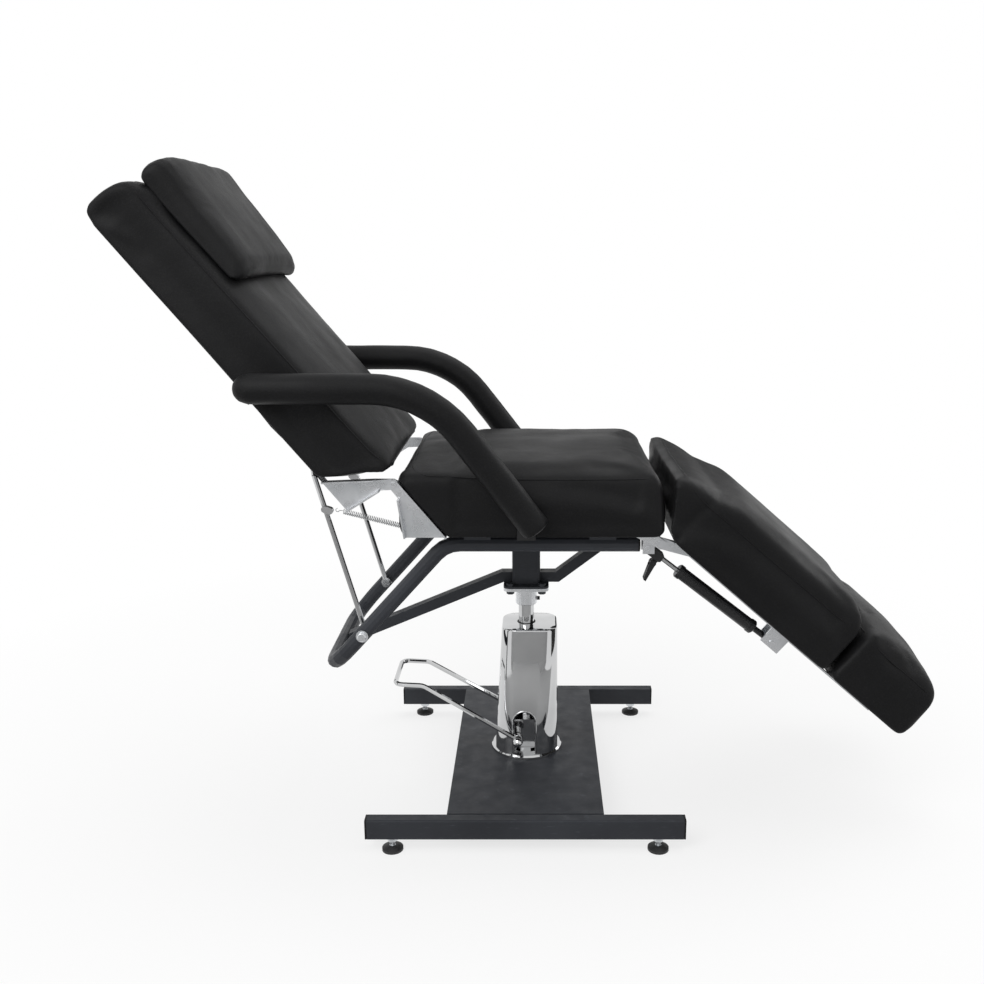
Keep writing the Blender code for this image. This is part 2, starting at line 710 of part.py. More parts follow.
bm = bmesh.new()
turned(bm, [(ROD_RADIUS + GAP, CYLINDER_TOP_Z + GAP), (WIPER_RADIUS, CYLINDER_TOP_Z + GAP),
            (WIPER_RADIUS, CYLINDER_TOP_Z + GAP + WIPER_HEIGHT),
            (ROD_RADIUS + GAP, CYLINDER_TOP_Z + GAP + WIPER_HEIGHT)], 24)
piece("rod_wiper", bm, BLACK_PLASTIC, couch)

bm = bmesh.new()
block_top = CYLINDER_BOTTOM_Z + PUMP_BLOCK_HEIGHT
prism(bm, rounded_box(PUMP_BLOCK_X, PUMP_BLOCK_Y, 0.008, 4), CYLINDER_BOTTOM_Z, block_top, "Z",
      [circle(0.0, 0.0, (CYLINDER_RADIUS + CYLINDER_BORE) / 2, 24)])
combine(pump, tool("pump_block", bm, couch), "UNION")

bm = bmesh.new()
for side in (-1, 1):
    start = PUMP_BLOCK_Y - 0.002
    neck = PEDAL_EYE_Y + PEDAL_EYE_THICKNESS / 2 + GAP
    ball = PEDAL_BALL_RADIUS
    profile = [(0.0, side * start), (PEDAL_PIN_RADIUS + 0.0015, side * start),
               (PEDAL_PIN_RADIUS + 0.0015, side * (start + 0.014)), (PEDAL_PIN_RADIUS, side * (start + 0.016)),
               (PEDAL_PIN_RADIUS, side * neck)]
    for degrees in (35, 65, 95, 125, 155):
        angle = math.radians(degrees)
        profile.append((ball * math.sin(angle), side * (neck + ball * (0.82 - math.cos(angle)))))
    profile.append((0.0, side * (neck + 1.82 * ball)))
    turned(bm, profile, 16, "Y", (PEDAL_PIVOT_X, 0.0, PEDAL_PIVOT_Z))
combine(pump, tool("pedal_pins", bm, couch), "UNION")


def cover_ring(height, inset, level=None):
    """One level of the pump cover: a rounded square that tapers towards the pedal side."""
    share = (height - FLANGE_TOP_Z) / (COVER_TOP_Z - FLANGE_TOP_Z)
    pedal_x = COVER_BOTTOM_HALF + (COVER_TOP_PEDAL_X - COVER_BOTTOM_HALF) * share - inset
    back_x = COVER_BOTTOM_HALF + (COVER_TOP_BACK_X - COVER_BOTTOM_HALF) * share - inset
    depth = COVER_BOTTOM_HALF + (COVER_TOP_HALF_DEPTH - COVER_BOTTOM_HALF) * share - inset
    corner = COVER_CORNER_BOTTOM + (COVER_CORNER_TOP - COVER_CORNER_BOTTOM) * share - inset
    outline = rounded_box((pedal_x + back_x) / 2, depth, corner, 7, ((back_x - pedal_x) / 2, 0.0))
    ring = [Vector((a, b, height if level is None else level)) for a, b in outline]
    for i in (28, 21, 14, 7):
        ring.insert(i, (ring[i - 1] + ring[i % 28]) / 2)
    return ring


bm = bmesh.new()
cover_bottom = FLANGE_TOP_Z + GAP
hole = []
for point in cover_ring(COVER_TOP_Z, 0.0):
    flat = Vector((point.x, point.y, 0.0)).normalized() * COVER_HOLE_RADIUS
    hole.append(flat)
rings = [cover_ring(cover_bottom, 0.0), cover_ring(0.5 * (cover_bottom + COVER_TOP_Z), 0.0),
         cover_ring(COVER_TOP_Z - COVER_EDGE, 0.0), cover_ring(COVER_TOP_Z - 0.3 * COVER_EDGE, 0.3 * COVER_EDGE),
         cover_ring(COVER_TOP_Z, COVER_EDGE)]
rings.append([Vector((p.x, p.y, COVER_TOP_Z)) for p in hole])
rings.append([Vector((p.x, p.y, COVER_TOP_Z - COVER_WALL)) for p in hole])
rings += [cover_ring(COVER_TOP_Z, COVER_EDGE + COVER_WALL, COVER_TOP_Z - COVER_WALL),
          cover_ring(COVER_TOP_Z - COVER_EDGE, COVER_WALL), cover_ring(cover_bottom, COVER_WALL)]
loft(bm, rings, closed=True)
cover = piece("pump_cover", bm, CHROME, couch)
bm = bmesh.new()
slot_low = FLANGE_TOP_Z - 0.01
slot = [(SLOT_CENTRE_X - SLOT_WIDTH / 2, slot_low), (SLOT_CENTRE_X + SLOT_WIDTH / 2, slot_low)]
slot += arc(SLOT_CENTRE_X, SLOT_TOP_Z - SLOT_WIDTH / 2, SLOT_WIDTH / 2, 0, 180, 13)
prism(bm, slot, -2 * COVER_BOTTOM_HALF, 2 * COVER_BOTTOM_HALF, "Y")
combine(cover, tool("pedal_slots", bm, couch), "DIFFERENCE")


# Foot pedal: a bent rod loop with an eye on each pin
pedal = carrier("pedal_carrier", PEDAL_PIVOT_X, PEDAL_PIVOT_Z, 0.0, PEDAL_RISE, couch)
tip_x, tip_z = turn(-PEDAL_TIP, 0.0, -PEDAL_TIP_BEND)
corners = [(-PEDAL_EYE_RADIUS * 0.6, -PEDAL_EYE_Y, 0.0), (-PEDAL_ARM, -PEDAL_END_HALF, 0.0),
           (-PEDAL_ARM + tip_x, -PEDAL_END_HALF, tip_z), (-PEDAL_ARM + tip_x, PEDAL_END_HALF, tip_z),
           (-PEDAL_ARM, PEDAL_END_HALF, 0.0), (-PEDAL_EYE_RADIUS * 0.6, PEDAL_EYE_Y, 0.0)]
bm = bmesh.new()
sweep(bm, bent_path(corners, (0.03, 0.016, 0.016, 0.03), (3, 4, 4, 3)), PEDAL_ROD_RADIUS, 8)
pedal_loop = piece("foot_pedal", bm, CHROME, pedal)
bm = bmesh.new()
for side in (-1, 1):
    prism(bm, circle(0.0, 0.0, PEDAL_EYE_RADIUS, 18), side * PEDAL_EYE_Y - PEDAL_EYE_THICKNESS / 2,
          side * PEDAL_EYE_Y + PEDAL_EYE_THICKNESS / 2, "Y")
combine(pedal_loop, tool("pedal_eyes", bm, pedal), "UNION")
bm = bmesh.new()
rod(bm, PEDAL_PIN_RADIUS + GAP, -2 * PEDAL_EYE_Y, 2 * PEDAL_EYE_Y, 16, "Y")
combine(pedal_loop, tool("pedal_eye_bore", bm, pedal), "DIFFERENCE")


# Lift: the piston slides; the rod with the couch's top turns on it
lift = carrier("lift_carrier", 0.0, 0.0, 0.0, 0.0, couch)
bm = bmesh.new()
rod(bm, ROD_RADIUS, PISTON_BOTTOM_Z, PISTON_BOTTOM_Z + PISTON_HEIGHT, 24, chamfer=0.001)
piece("lift_piston", bm, BLACK_STEEL, lift)

seat = carrier("seat_carrier", 0.0, 0.0, 0.0, 0.0, lift)
bm = bmesh.new()
rod(bm, ROD_RADIUS, ROD_BOTTOM_Z, SOCKET_TOP_Z - GAP, 24, chamfer=0.001)
piece("lift_rod", bm, CHROME, seat)

bm = bmesh.new()
turned(bm, [(ROD_RADIUS + GAP, SOCKET_BOTTOM_Z), (SOCKET_RADIUS - 0.001, SOCKET_BOTTOM_Z),
            (SOCKET_RADIUS, SOCKET_BOTTOM_Z + 0.001), (SOCKET_RADIUS, SOCKET_TOP_Z),
            (ROD_RADIUS + GAP, SOCKET_TOP_Z)], 24)
socket = piece("rod_socket", bm, ZINC, seat)
screw_z = SOCKET_BOTTOM_Z + 0.010
bm = bmesh.new()
rod(bm, SET_SCREW_RADIUS, ROD_RADIUS + 0.002, SOCKET_RADIUS + 0.006, 12, "X", (0.0, 0.0, screw_z))
combine(socket, tool("set_screw", bm, seat), "UNION")

MOUNT_BOLTS = [(x, y) for x in (-MOUNT_BOLT_X, MOUNT_BOLT_X) for y in (-MOUNT_BOLT_Y, MOUNT_BOLT_Y)]
bolt_holes = [circle(x, y, MOUNT_BOLT_RADIUS + GAP, 10) for x, y in MOUNT_BOLTS]
plate_outline = rounded_box(MOUNT_PLATE_SIZE / 2, MOUNT_PLATE_SIZE / 2, 0.012, 4)
bm = bmesh.new()
prism(bm, plate_outline, MOUNT_PLATE_Z, MOUNT_PLATE_Z + MOUNT_PLATE_THICKNESS, "Z", bolt_holes)
piece("mounting_plate", bm, ZINC, seat)
bm = bmesh.new()
foot_plate_top = FOOT_PLATE_Z + FOOT_PLATE_THICKNESS
prism(bm, plate_outline, FOOT_PLATE_Z, foot_plate_top, "Z")
foot_plate = piece("post_foot_plate", bm, GREY_STEEL, seat)
bm = bmesh.new()
for x, y in MOUNT_BOLTS:
    bolt(bm, x, y, MOUNT_BOLT_RADIUS, MOUNT_PLATE_Z - GAP, foot_plate_top)
combine(foot_plate, tool("mounting_bolts", bm, seat), "UNION")

bm = bmesh.new()
prism(bm, rounded_box(POST_SIZE / 2, POST_SIZE / 2, POST_CORNER, 3), POST_BOTTOM_Z, CROSS_BOTTOM_Z - GAP,
      "Z", [rounded_box(POST_SIZE / 2 - POST_WALL, POST_SIZE / 2 - POST_WALL, POST_CORNER - POST_WALL / 2, 3)])
piece("post", bm, GREY_STEEL, seat)


# Seat frame
rear_knee = (RAIL_BEND_X, RAIL_CENTRE_Z)
corners = [(RAIL_FRONT_X, -RAIL_Y, RAIL_CENTRE_Z), (RAIL_BEND_X, -RAIL_Y, RAIL_CENTRE_Z),
           (RAIL_REAR_X, -RAIL_Y, RAIL_END_Z), (RAIL_REAR_X, RAIL_Y, RAIL_END_Z),
           (RAIL_BEND_X, RAIL_Y, RAIL_CENTRE_Z), (RAIL_FRONT_X, RAIL_Y, RAIL_CENTRE_Z)]
rail_path = bent_path(corners, (RAIL_BEND_RADIUS, RAIL_REAR_RADIUS, RAIL_REAR_RADIUS, RAIL_BEND_RADIUS),
                      (3, 5, 5, 3))
bm = bmesh.new()
sweep(bm, rail_path, RAIL_RADIUS, 12, RAIL_WALL)
seat_frame = piece("seat_frame", bm, GREY_STEEL, seat)
plugs = bmesh.new()
pads = bmesh.new()
pad_top = SEAT_UNDERSIDE_Z - GAP
pad_base = RAIL_TOP_Z - 0.4 * RAIL_RADIUS
for side in (-1, 1):
    core = RAIL_RADIUS - RAIL_WALL / 2
    turned(plugs, [(0.0, RAIL_FRONT_X - RAIL_PLUG_DEPTH), (core, RAIL_FRONT_X - RAIL_PLUG_DEPTH),
                   (core, RAIL_FRONT_X - 0.001), (RAIL_RADIUS + 0.0004, RAIL_FRONT_X - 0.001),
                   (RAIL_RADIUS + 0.0004, RAIL_FRONT_X + RAIL_PLUG_FACE - 0.001),
                   (RAIL_RADIUS - 0.002, RAIL_FRONT_X + RAIL_PLUG_FACE), (0.0, RAIL_FRONT_X + RAIL_PLUG_FACE)],
           12, "X", (0.0, side * RAIL_Y, RAIL_CENTRE_Z))
    for x in (RAIL_BEND_X + RAIL_BEND_RADIUS, FRONT_CROSS_X - SPACER_LENGTH):
        prism(pads, rounded_box(SPACER_WIDTH / 2, (pad_top - pad_base) / 2, 0.001, 2,
                                (side * RAIL_Y, (pad_top + pad_base) / 2)),
              x - SPACER_LENGTH / 2, x + SPACER_LENGTH / 2, "X")
combine(seat_frame, tool("rail_end_plugs", plugs, seat), "UNION")
combine(seat_frame, tool("board_pads", pads, seat), "UNION")
bm = bmesh.new()
rod(bm, BAIL_BOLT_RADIUS + GAP, -2 * RAIL_Y, 2 * RAIL_Y, 12, "Y", (BAIL_PIVOT_X, 0.0, BAIL_PIVOT_Z))
combine(seat_frame, tool("bail_bolt_holes", bm, seat), "DIFFERENCE")

cross_end = RAIL_Y - RAIL_RADIUS - GAP
for name, x, width in (("post", 0.0, CROSS_WIDTH), ("front", FRONT_CROSS_X, FRONT_CROSS_WIDTH)):
    bm = bmesh.new()
    outer = rounded_box(width / 2, CROSS_HEIGHT / 2, BAR_CORNER, 3, (x, RAIL_CENTRE_Z))
    inner = rounded_box(width / 2 - BAR_WALL, CROSS_HEIGHT / 2 - BAR_WALL, BAR_CORNER - BAR_WALL / 2, 3,
                        (x, RAIL_CENTRE_Z))
    prism(bm, outer, -cross_end, cross_end, "Y", [inner])
    piece(name + "_cross_member", bm, GREY_STEEL, seat)

brace_low = foot_plate_top + GAP
brace_high = brace_low + BRACE_HEIGHT
brace_middle = (brace_low + brace_high) / 2
rear_slope = slope_of((RAIL_REAR_X, RAIL_END_Z), (BRACE_REAR_KNEE_X, brace_middle))
reach_x, reach_z = turn(RAIL_RADIUS + RUNNING_GAP, 0.0, -rear_slope)
offset_x, offset_z = turn(0.0, BRACE_HEIGHT / 2, -rear_slope)
end_x = RAIL_REAR_X + reach_x
end_z = RAIL_END_Z + reach_z
knee_shift = BRACE_HEIGHT / 2 * math.tan(math.radians(rear_slope / 2))
face_x = -(POST_SIZE / 2 + GAP)
bm = bmesh.new()
prism(bm, [(face_x, brace_low), (face_x, brace_high), (BRACE_REAR_KNEE_X - knee_shift, brace_high),
           (end_x + offset_x, end_z + offset_z), (end_x - offset_x, end_z - offset_z),
           (BRACE_REAR_KNEE_X + knee_shift, brace_low)], -BRACE_WIDTH / 2, BRACE_WIDTH / 2, "Y")
piece("rear_brace", bm, GREY_STEEL, seat)

top_z = CROSS_BOTTOM_Z - GAP
top_x = FRONT_CROSS_X + 0.004
rise = math.atan2(top_z - brace_middle, top_x - BRACE_FRONT_KNEE_X)
front_shift = BRACE_HEIGHT / 2 * math.tan(rise / 2)
top_shift = BRACE_HEIGHT / 2 / math.sin(rise)
bm = bmesh.new()
prism(bm, [(-face_x, brace_low), (BRACE_FRONT_KNEE_X + front_shift, brace_low), (top_x + top_shift, top_z),
           (top_x - top_shift, top_z), (BRACE_FRONT_KNEE_X - front_shift, brace_high),
           (-face_x, brace_high)], -BRACE_WIDTH / 2, BRACE_WIDTH / 2, "Y")
piece("front_brace", bm, GREY_STEEL, seat)

# Seat board and cushion, notched at the rear corners for the hinge plates
board_top = SEAT_UNDERSIDE_Z + BOARD_THICKNESS
board_rear = SEAT_REAR_X + BOARD_INSET
board_front = SEAT_FRONT_X - BOARD_INSET
bm = bmesh.new()
prism(bm, rounded_box((board_front - board_rear) / 2, BOARD_HALF, 0.015, 3,
                      ((board_front + board_rear) / 2, 0.0)), SEAT_UNDERSIDE_Z, board_top, "Z")
seat_board = piece("seat_board", bm, BOARD, seat)
bm = bmesh.new()
hook_low = SEAT_UNDERSIDE_Z - SPRING_HOOK_DROP
hook_x = SPRING_HOOK_X + 0.009
for side in (-1, 1):
    y = side * SPRING_Y
    sweep(bm, bent_path([(hook_x, y, SEAT_UNDERSIDE_Z + 0.002), (hook_x, y, hook_low - 0.003),
                         (hook_x - 0.013, y, hook_low - 0.003), (hook_x - 0.013, y, hook_low + 0.004)],
                        (0.003, 0.003), (2, 2)), 0.0015, 6)
combine(seat_board, tool("spring_hooks", bm, seat), "UNION")


def soft_outline(rear, front, bottom, face, rear_round, front_round):
    """Side view of a stuffed block with round upper and lower edges."""
    low = 0.010
    return (arc(front - low, bottom + low, low, 270, 360, 3)
            + arc(front - front_round, face - front_round, front_round, 0, 90, 5)
            + [((rear + front) / 2, face)]
            + arc(rear + rear_round, face - rear_round, rear_round, 90, 180, 5)
            + arc(rear + low, bottom + low, low, 180, 270, 3))


def board_pocket(name, x_low, x_high, bottom, top, parent):
    """The space that a board takes out of the underside of its cushion."""
    bm = bmesh.new()
    prism(bm, [(x_low - GAP, bottom - 0.02), (x_high + GAP, bottom - 0.02), (x_high + GAP, top + GAP),
               (x_low - GAP, top + GAP)], -BOARD_HALF - GAP, BOARD_HALF + GAP, "Y")
    return tool(name, bm, parent)


notch_level = HINGE_EAR + HINGE_CLEAR
hinge_drop = HINGE_Z - SEAT_UNDERSIDE_Z
notch = [(-0.06, notch_level), (0.2 * notch_level, notch_level), (0.8 * notch_level, 0.6 * notch_level),
         (HINGE_CUT_REACH, -hinge_drop), (HINGE_CUT_REACH, -hinge_drop - 0.02), (-0.06, -hinge_drop - 0.02)]
bm = bmesh.new()
cushion(bm, soft_outline(SEAT_REAR_X, SEAT_FRONT_X, SEAT_UNDERSIDE_Z, SEAT_EDGE_Z, 0.022, 0.026),
        SEAT_CROWN, SEAT_EDGE_Z)
seat_cushion = piece("seat_cushion", bm, BLACK_VINYL, seat)
combine(seat_cushion, board_pocket("seat_pocket", board_rear, board_front, SEAT_UNDERSIDE_Z, board_top, seat),
        "DIFFERENCE")
bm = bmesh.new()
for side in (-1, 1):
    low_y, high_y = sorted((side * BOARD_HALF, side * 2 * CUSHION_HALF))
    prism(bm, shifted(notch, HINGE_X, HINGE_Z), low_y, high_y, "Y")
combine(seat_cushion, tool("seat_notches", bm, seat), "DIFFERENCE")


# Hinge plates of the backrest, folded from sheet, and the pins that they turn on
def hinge_web(facing, heading, base_z):
    """Side view of a hinge plate round its pivot: facing is 1 for the seat's, -1 for the back's."""
    ear = arc(0.0, 0.0, HINGE_EAR - HINGE_SHEET / 2, 200, heading + 90, 8)
    inner = (HINGE_INNER_X, base_z(facing * HINGE_INNER_X))
    run = math.radians(heading)
    reach = HINGE_CUT_REACH
    for _ in range(4):
        reach = ear[-1][0] + (base_z(facing * reach) - ear[-1][1]) / math.tan(run)
    lip = (ear[-1][0] + 0.034 * math.cos(run), ear[-1][1] + 0.034 * math.sin(run))
    outer = (reach, base_z(facing * reach))
    outline = [inner, (HINGE_INNER_X * 0.45, -0.026)] + ear + [lip, outer]
    return [(facing * a, b) for a, b in outline]


def back_under(x):
    """Underside of the backrest, which thins slightly towards the head."""
    share = (x + HINGE_CUT_REACH) / (BACK_LENGTH - HINGE_CUT_REACH - 0.037)
    return BACK_UNDERSIDE_LOW - (BACK_UNDERSIDE_HIGH - BACK_UNDERSIDE_LOW) * share


sheet_rest = GAP + HINGE_SHEET / 2
seat_heading = slope_of((0.8 * notch_level, 0.6 * notch_level), (HINGE_CUT_REACH, -hinge_drop))
pin_hole = circle(0.0, 0.0, HINGE_PIN_RADIUS + RUNNING_GAP, 12)
web = hinge_web(1, seat_heading, lambda x: -hinge_drop - sheet_rest)
for name, side in SIDES:
    plate = folded_sheet("seat_hinge_plate_" + name, side, shifted(web, HINGE_X, HINGE_Z),
                         {0: (HINGE_LIP, 0.0), 9: (HINGE_LIP, 0.0), 10: (HINGE_LIP, 0.0), 11: (-HINGE_BASE, 0.0)},
                         [], SEAT_WEB_Y + HINGE_SHEET / 2, HINGE_SHEET, ZINC, seat)
    bm = bmesh.new()
    headed_pin(bm, HINGE_X, HINGE_Z, HINGE_PIN_RADIUS, 0.0055, side * (BOARD_HALF - GAP - 0.0025),
               side * (SEAT_WEB_Y + HINGE_SHEET + 0.0020))
    combine(plate, tool("backrest_pin_" + name, bm, seat), "UNION")

backrest = carrier("backrest_carrier", HINGE_X, HINGE_Z, 0.0, BACK_ANGLE, seat)
back_heading = slope_of((0.014, 0.013), (HINGE_CUT_REACH, BACK_UNDERSIDE_LOW))
web = hinge_web(-1, back_heading, lambda x: back_under(x) - sheet_rest)
for name, side in SIDES:
    folded_sheet("back_hinge_plate_" + name, side, web,
                 {0: (HINGE_LIP, 0.0), 10: (HINGE_LIP, 0.0), 11: (-HINGE_BASE, -HINGE_TAIL)},
                 [pin_hole], BACK_WEB_Y + HINGE_SHEET / 2, HINGE_SHEET, ZINC, backrest)


# Backrest: cushion with a bevelled lower end, board and head pillow
bm = bmesh.new()
shoulder_x = BACK_TOP_ROUND - BACK_LENGTH
cushion(bm, [(-HINGE_CUT_REACH, BACK_UNDERSIDE_LOW), (-0.014, 0.013), (-0.030, BACK_FACE),
             (0.5 * shoulder_x - 0.015, BACK_FACE), (shoulder_x, BACK_FACE), (0.015 - BACK_LENGTH, 0.013),
             (0.003 - BACK_LENGTH, -0.006), (-BACK_LENGTH, -0.030), (0.002 - BACK_LENGTH, -0.062),
             (0.014 - BACK_LENGTH, -0.078), (shoulder_x, back_under(shoulder_x))], BACK_CROWN, BACK_FACE)
back_cushion = piece("back_cushion", bm, BLACK_VINYL, backrest)
board_near = -HINGE_CUT_REACH - BOARD_INSET


def back_board(shape, width, near, far, low, high):
    """The board's volume along the sloping underside of the backrest."""
    prism(shape, [(near, back_under(near) - low), (near, back_under(near) + high),
                  (far, back_under(far) + high), (far, back_under(far) - low)], -width, width, "Y")


bm = bmesh.new()
back_board(bm, BOARD_HALF, board_near, -BACK_BOARD_END, 0.0, BOARD_THICKNESS)
piece("back_board", bm, BOARD, backrest)
bm = bmesh.new()
back_board(bm, BOARD_HALF + GAP, board_near + GAP, -BACK_BOARD_END - GAP, 0.02, BOARD_THICKNESS + GAP)
combine(back_cushion, tool("back_pocket", bm, backrest), "DIFFERENCE")

bm = bmesh.new()
bed = BACK_FACE + BACK_CROWN + GAP
pillow_run = PILLOW_FRONT_X - PILLOW_BACK_X
pillow = [(PILLOW_FRONT_X - along * pillow_run, bed + up * PILLOW_THICKNESS)
          for along, up in ((0.033, 0.0), (-0.012, 0.18), (-0.020, 0.42), (0.010, 0.68), (0.090, 0.86), (0.300, 0.93),
                            (0.700, 0.96), (0.934, 1.0), (0.992, 0.88), (1.025, 0.48), (1.008, 0.12), (0.967, 0.0))]
pillow_middle = (PILLOW_FRONT_X + PILLOW_BACK_X) / 2
half_stations = [(1.0, 0.30, 0.80), (0.97, 0.52, 0.88), (0.90, 0.74, 0.95), (0.75, 0.90, 0.99), (0.50, 0.98, 1.0)]
stations = [(-across, height, length) for across, height, length in half_stations] + [(0.0, 1.0, 1.0)]
stations += half_stations[::-1]
rings = []
for across, height, length in stations:
    rings.append([Vector((pillow_middle + (a - pillow_middle) * length, across * PILLOW_HALF,
                          bed + (b - bed) * height)) for a, b in pillow])
loft(bm, rings)
piece("head_pillow", bm, BLACK_VINYL, backrest)


# Rack plates: a guide slot with resting notches that follows the bail's top bar
slot_half = BAIL_ROD_RADIUS + RUNNING_GAP
locus = [bail_bar_in_back(i / (2 * RACK_NOTCHES)) for i in range(2 * RACK_NOTCHES + 1)]
first_x, first_z = locus[0]
last_x, last_z = locus[-1]
upper = [(x, z + slot_half) for x, z in locus[::4]]
lower = [(x, z - slot_half - RACK_NOTCH_DEPTH * (i % 2)) for i, (x, z) in enumerate(locus)]
guide = arc(first_x, first_z, slot_half, 90, -90, 5)[1:-1] + lower
guide += arc(last_x, last_z, slot_half, -90, -270, 5)[1:-1] + upper[::-1]
foot = slot_half + RACK_NOTCH_DEPTH + RACK_MARGIN
belly = [(x, z - foot) for x, z in locus[::4]]
rack_rest = GAP + RACK_SHEET / 2
near_x = first_x + slot_half + RACK_MARGIN
far_x = last_x - slot_half - RACK_MARGIN
web = [(near_x, back_under(near_x) - rack_rest), (near_x, first_z - 0.3 * foot)] + belly
web += [(far_x, last_z - 0.3 * foot), (far_x, back_under(far_x) - rack_rest)]
for name, side in SIDES:
    folded_sheet("rack_plate_" + name, side, web, {len(web) - 1: (RACK_BASE, 0.0)}, [guide], RACK_Y,
                 RACK_SHEET, BLACK_STEEL, backrest)


# Armrest link plates at the back and pivot plates at the seat, each with its welded pin
def arm_plates(name, x, z, base_z, pin_radius, parent):
    """A pair of lugs beside the cushions that carry the pins of the armrests."""
    web_y = CUSHION_HALF + GAP + ARM_PLATE / 2
    top = arc(x, z, ARM_PLATE_HALF * 0.75, 180, 0, 8)
    outline = [(x + ARM_PLATE_HALF, base_z(x + ARM_PLATE_HALF)), (x - ARM_PLATE_HALF, base_z(x - ARM_PLATE_HALF))]
    inward = CUSHION_HALF - BOARD_HALF + ARM_PLATE_BASE
    for ending, side in SIDES:
        plate = folded_sheet(name + "_" + ending, side, outline + top, {0: (-inward, 0.0)}, [], web_y, ARM_PLATE,
                             BLACK_STEEL, parent)
        root = side * web_y
        tip = side * (ARM_Y - ARM_RADIUS + ARM_PIN_DEPTH - 0.002)
        pin = bmesh.new()
        rod(pin, pin_radius, min(root, tip), max(root, tip), 16, "Y", (x, 0.0, z))
        combine(plate, tool(name + "_pin_" + ending, pin, parent), "UNION")


arm_plates("arm_link_plate", ARM_LINK_X, ARM_LINK_Z, lambda x: back_under(x) - GAP - ARM_PLATE / 2,
           ARM_REAR_PIN_RADIUS, backrest)
arm_plates("arm_pivot_plate", ARM_FRONT_X, ARM_FRONT_Z, lambda x: SEAT_UNDERSIDE_Z - GAP - ARM_PLATE / 2,
           ARM_PIN_RADIUS, seat)


# Armrests: bent padded tubes, bored for the front pin and slotted for the pin on the back
arm_dip_x, arm_dip_z = turn(ARM_END_PAST_PIVOT, 0.0, ARM_SLOPE)
knee_x = -(ARM_TOP_Z - ARM_FRONT_Z) / math.tan(math.radians(ARM_SLOPE))
knee_z = ARM_TOP_Z - ARM_FRONT_Z
tail_x = ARM_REAR_X - ARM_FRONT_X
slot_points = [link_pin_in_arm(i / 12) for i in range(13)]
slot_radii = [math.hypot(x, z) for x, z in slot_points]
slot_heading = math.radians(slope_of((0.0, 0.0), slot_points[6]))
slot_near = min(slot_radii) - 0.0006
slot_far = max(slot_radii) + 0.0006
slot_ends = [(reach * math.cos(slot_heading), reach * math.sin(slot_heading)) for reach in (slot_near, slot_far)]
for name, side in SIDES:
    arm = carrier("armrest_carrier_" + name, ARM_FRONT_X, ARM_FRONT_Z, 0.0, 0.0, seat)
    y = side * ARM_Y
    path = bent_path([(arm_dip_x, y, arm_dip_z), (knee_x, y, knee_z), (tail_x + ARM_RADIUS, y, knee_z)],
                     (ARM_BEND_RADIUS,), (7,))
    ahead = (path[1] - path[0]).normalized() * 0.004
    path = [path[0], path[0] + ahead] + path[1:]
    radii = [ARM_RADIUS - 0.004] + [ARM_RADIUS] * (len(path) - 1)
    for degrees in (35, 60, 80):
        angle = math.radians(degrees)
        path.append(Vector((tail_x + ARM_RADIUS * (1 - math.sin(angle)), y, knee_z)))
        radii.append(ARM_RADIUS * math.cos(angle))
    bm = bmesh.new()
    rings = tube_rings(path, 1.0, 16)
    rings = [[centre + (point - centre) * radius for point in ring]
             for centre, radius, ring in zip(path, radii, rings)]
    loft(bm, rings)
    armrest = piece("armrest_" + name, bm, BLACK_VINYL, arm)
    bm = bmesh.new()
    low_y, high_y = sorted((side * (ARM_Y - 1.5 * ARM_RADIUS), side * (ARM_Y - ARM_RADIUS + ARM_PIN_DEPTH)))
    rod(bm, ARM_PIN_RADIUS + GAP, low_y, high_y, 16, "Y")
    prism(bm, stadium(slot_ends[0], slot_ends[1], ARM_REAR_PIN_RADIUS + RUNNING_GAP), low_y, high_y, "Y")
    combine(armrest, tool("arm_bores_" + name, bm, arm), "DIFFERENCE")


# Recline bail: a chrome U on two bolts through the rails, with spring clips on its rods
bail = carrier("bail_carrier", BAIL_PIVOT_X, BAIL_PIVOT_Z, 0.0, 0.0, seat)
lean = math.radians(BAIL_LEAN)
bar_x = -BAIL_LENGTH * math.sin(lean)
bar_z = BAIL_LENGTH * math.cos(lean)
bm = bmesh.new()
rod_share = 0.9 * BAIL_EYE_RADIUS / BAIL_LENGTH
rod_x = rod_share * bar_x
rod_z = rod_share * bar_z
sweep(bm, bent_path([(rod_x, -BAIL_Y, rod_z), (bar_x, -BAIL_Y, bar_z), (bar_x, BAIL_Y, bar_z),
                     (rod_x, BAIL_Y, rod_z)], (BAIL_CORNER, BAIL_CORNER), (4, 4)),
      BAIL_ROD_RADIUS, 8)
bail_loop = piece("recline_bail", bm, CHROME, bail)
clip_x = SPRING_RING_UP / BAIL_LENGTH * bar_x
clip_z = SPRING_RING_UP / BAIL_LENGTH * bar_z
bm = bmesh.new()
for side in (-1, 1):
    near_y = side * BAIL_Y
    prism(bm, circle(0.0, 0.0, BAIL_EYE_RADIUS, 16), near_y - BAIL_EYE_THICKNESS / 2,
          near_y + BAIL_EYE_THICKNESS / 2, "Y")
    prism(bm, stadium((clip_x, clip_z), (clip_x + 0.010, clip_z - 0.003), 0.0065, 6), near_y - 0.008,
          near_y + 0.003, "Y")
combine(bail_loop, tool("bail_eyes", bm, bail), "UNION")
bm = bmesh.new()
rod(bm, BAIL_BOLT_RADIUS + GAP, -2 * BAIL_Y, 2 * BAIL_Y, 12, "Y")
combine(bail_loop, tool("bail_bore", bm, bail), "DIFFERENCE")

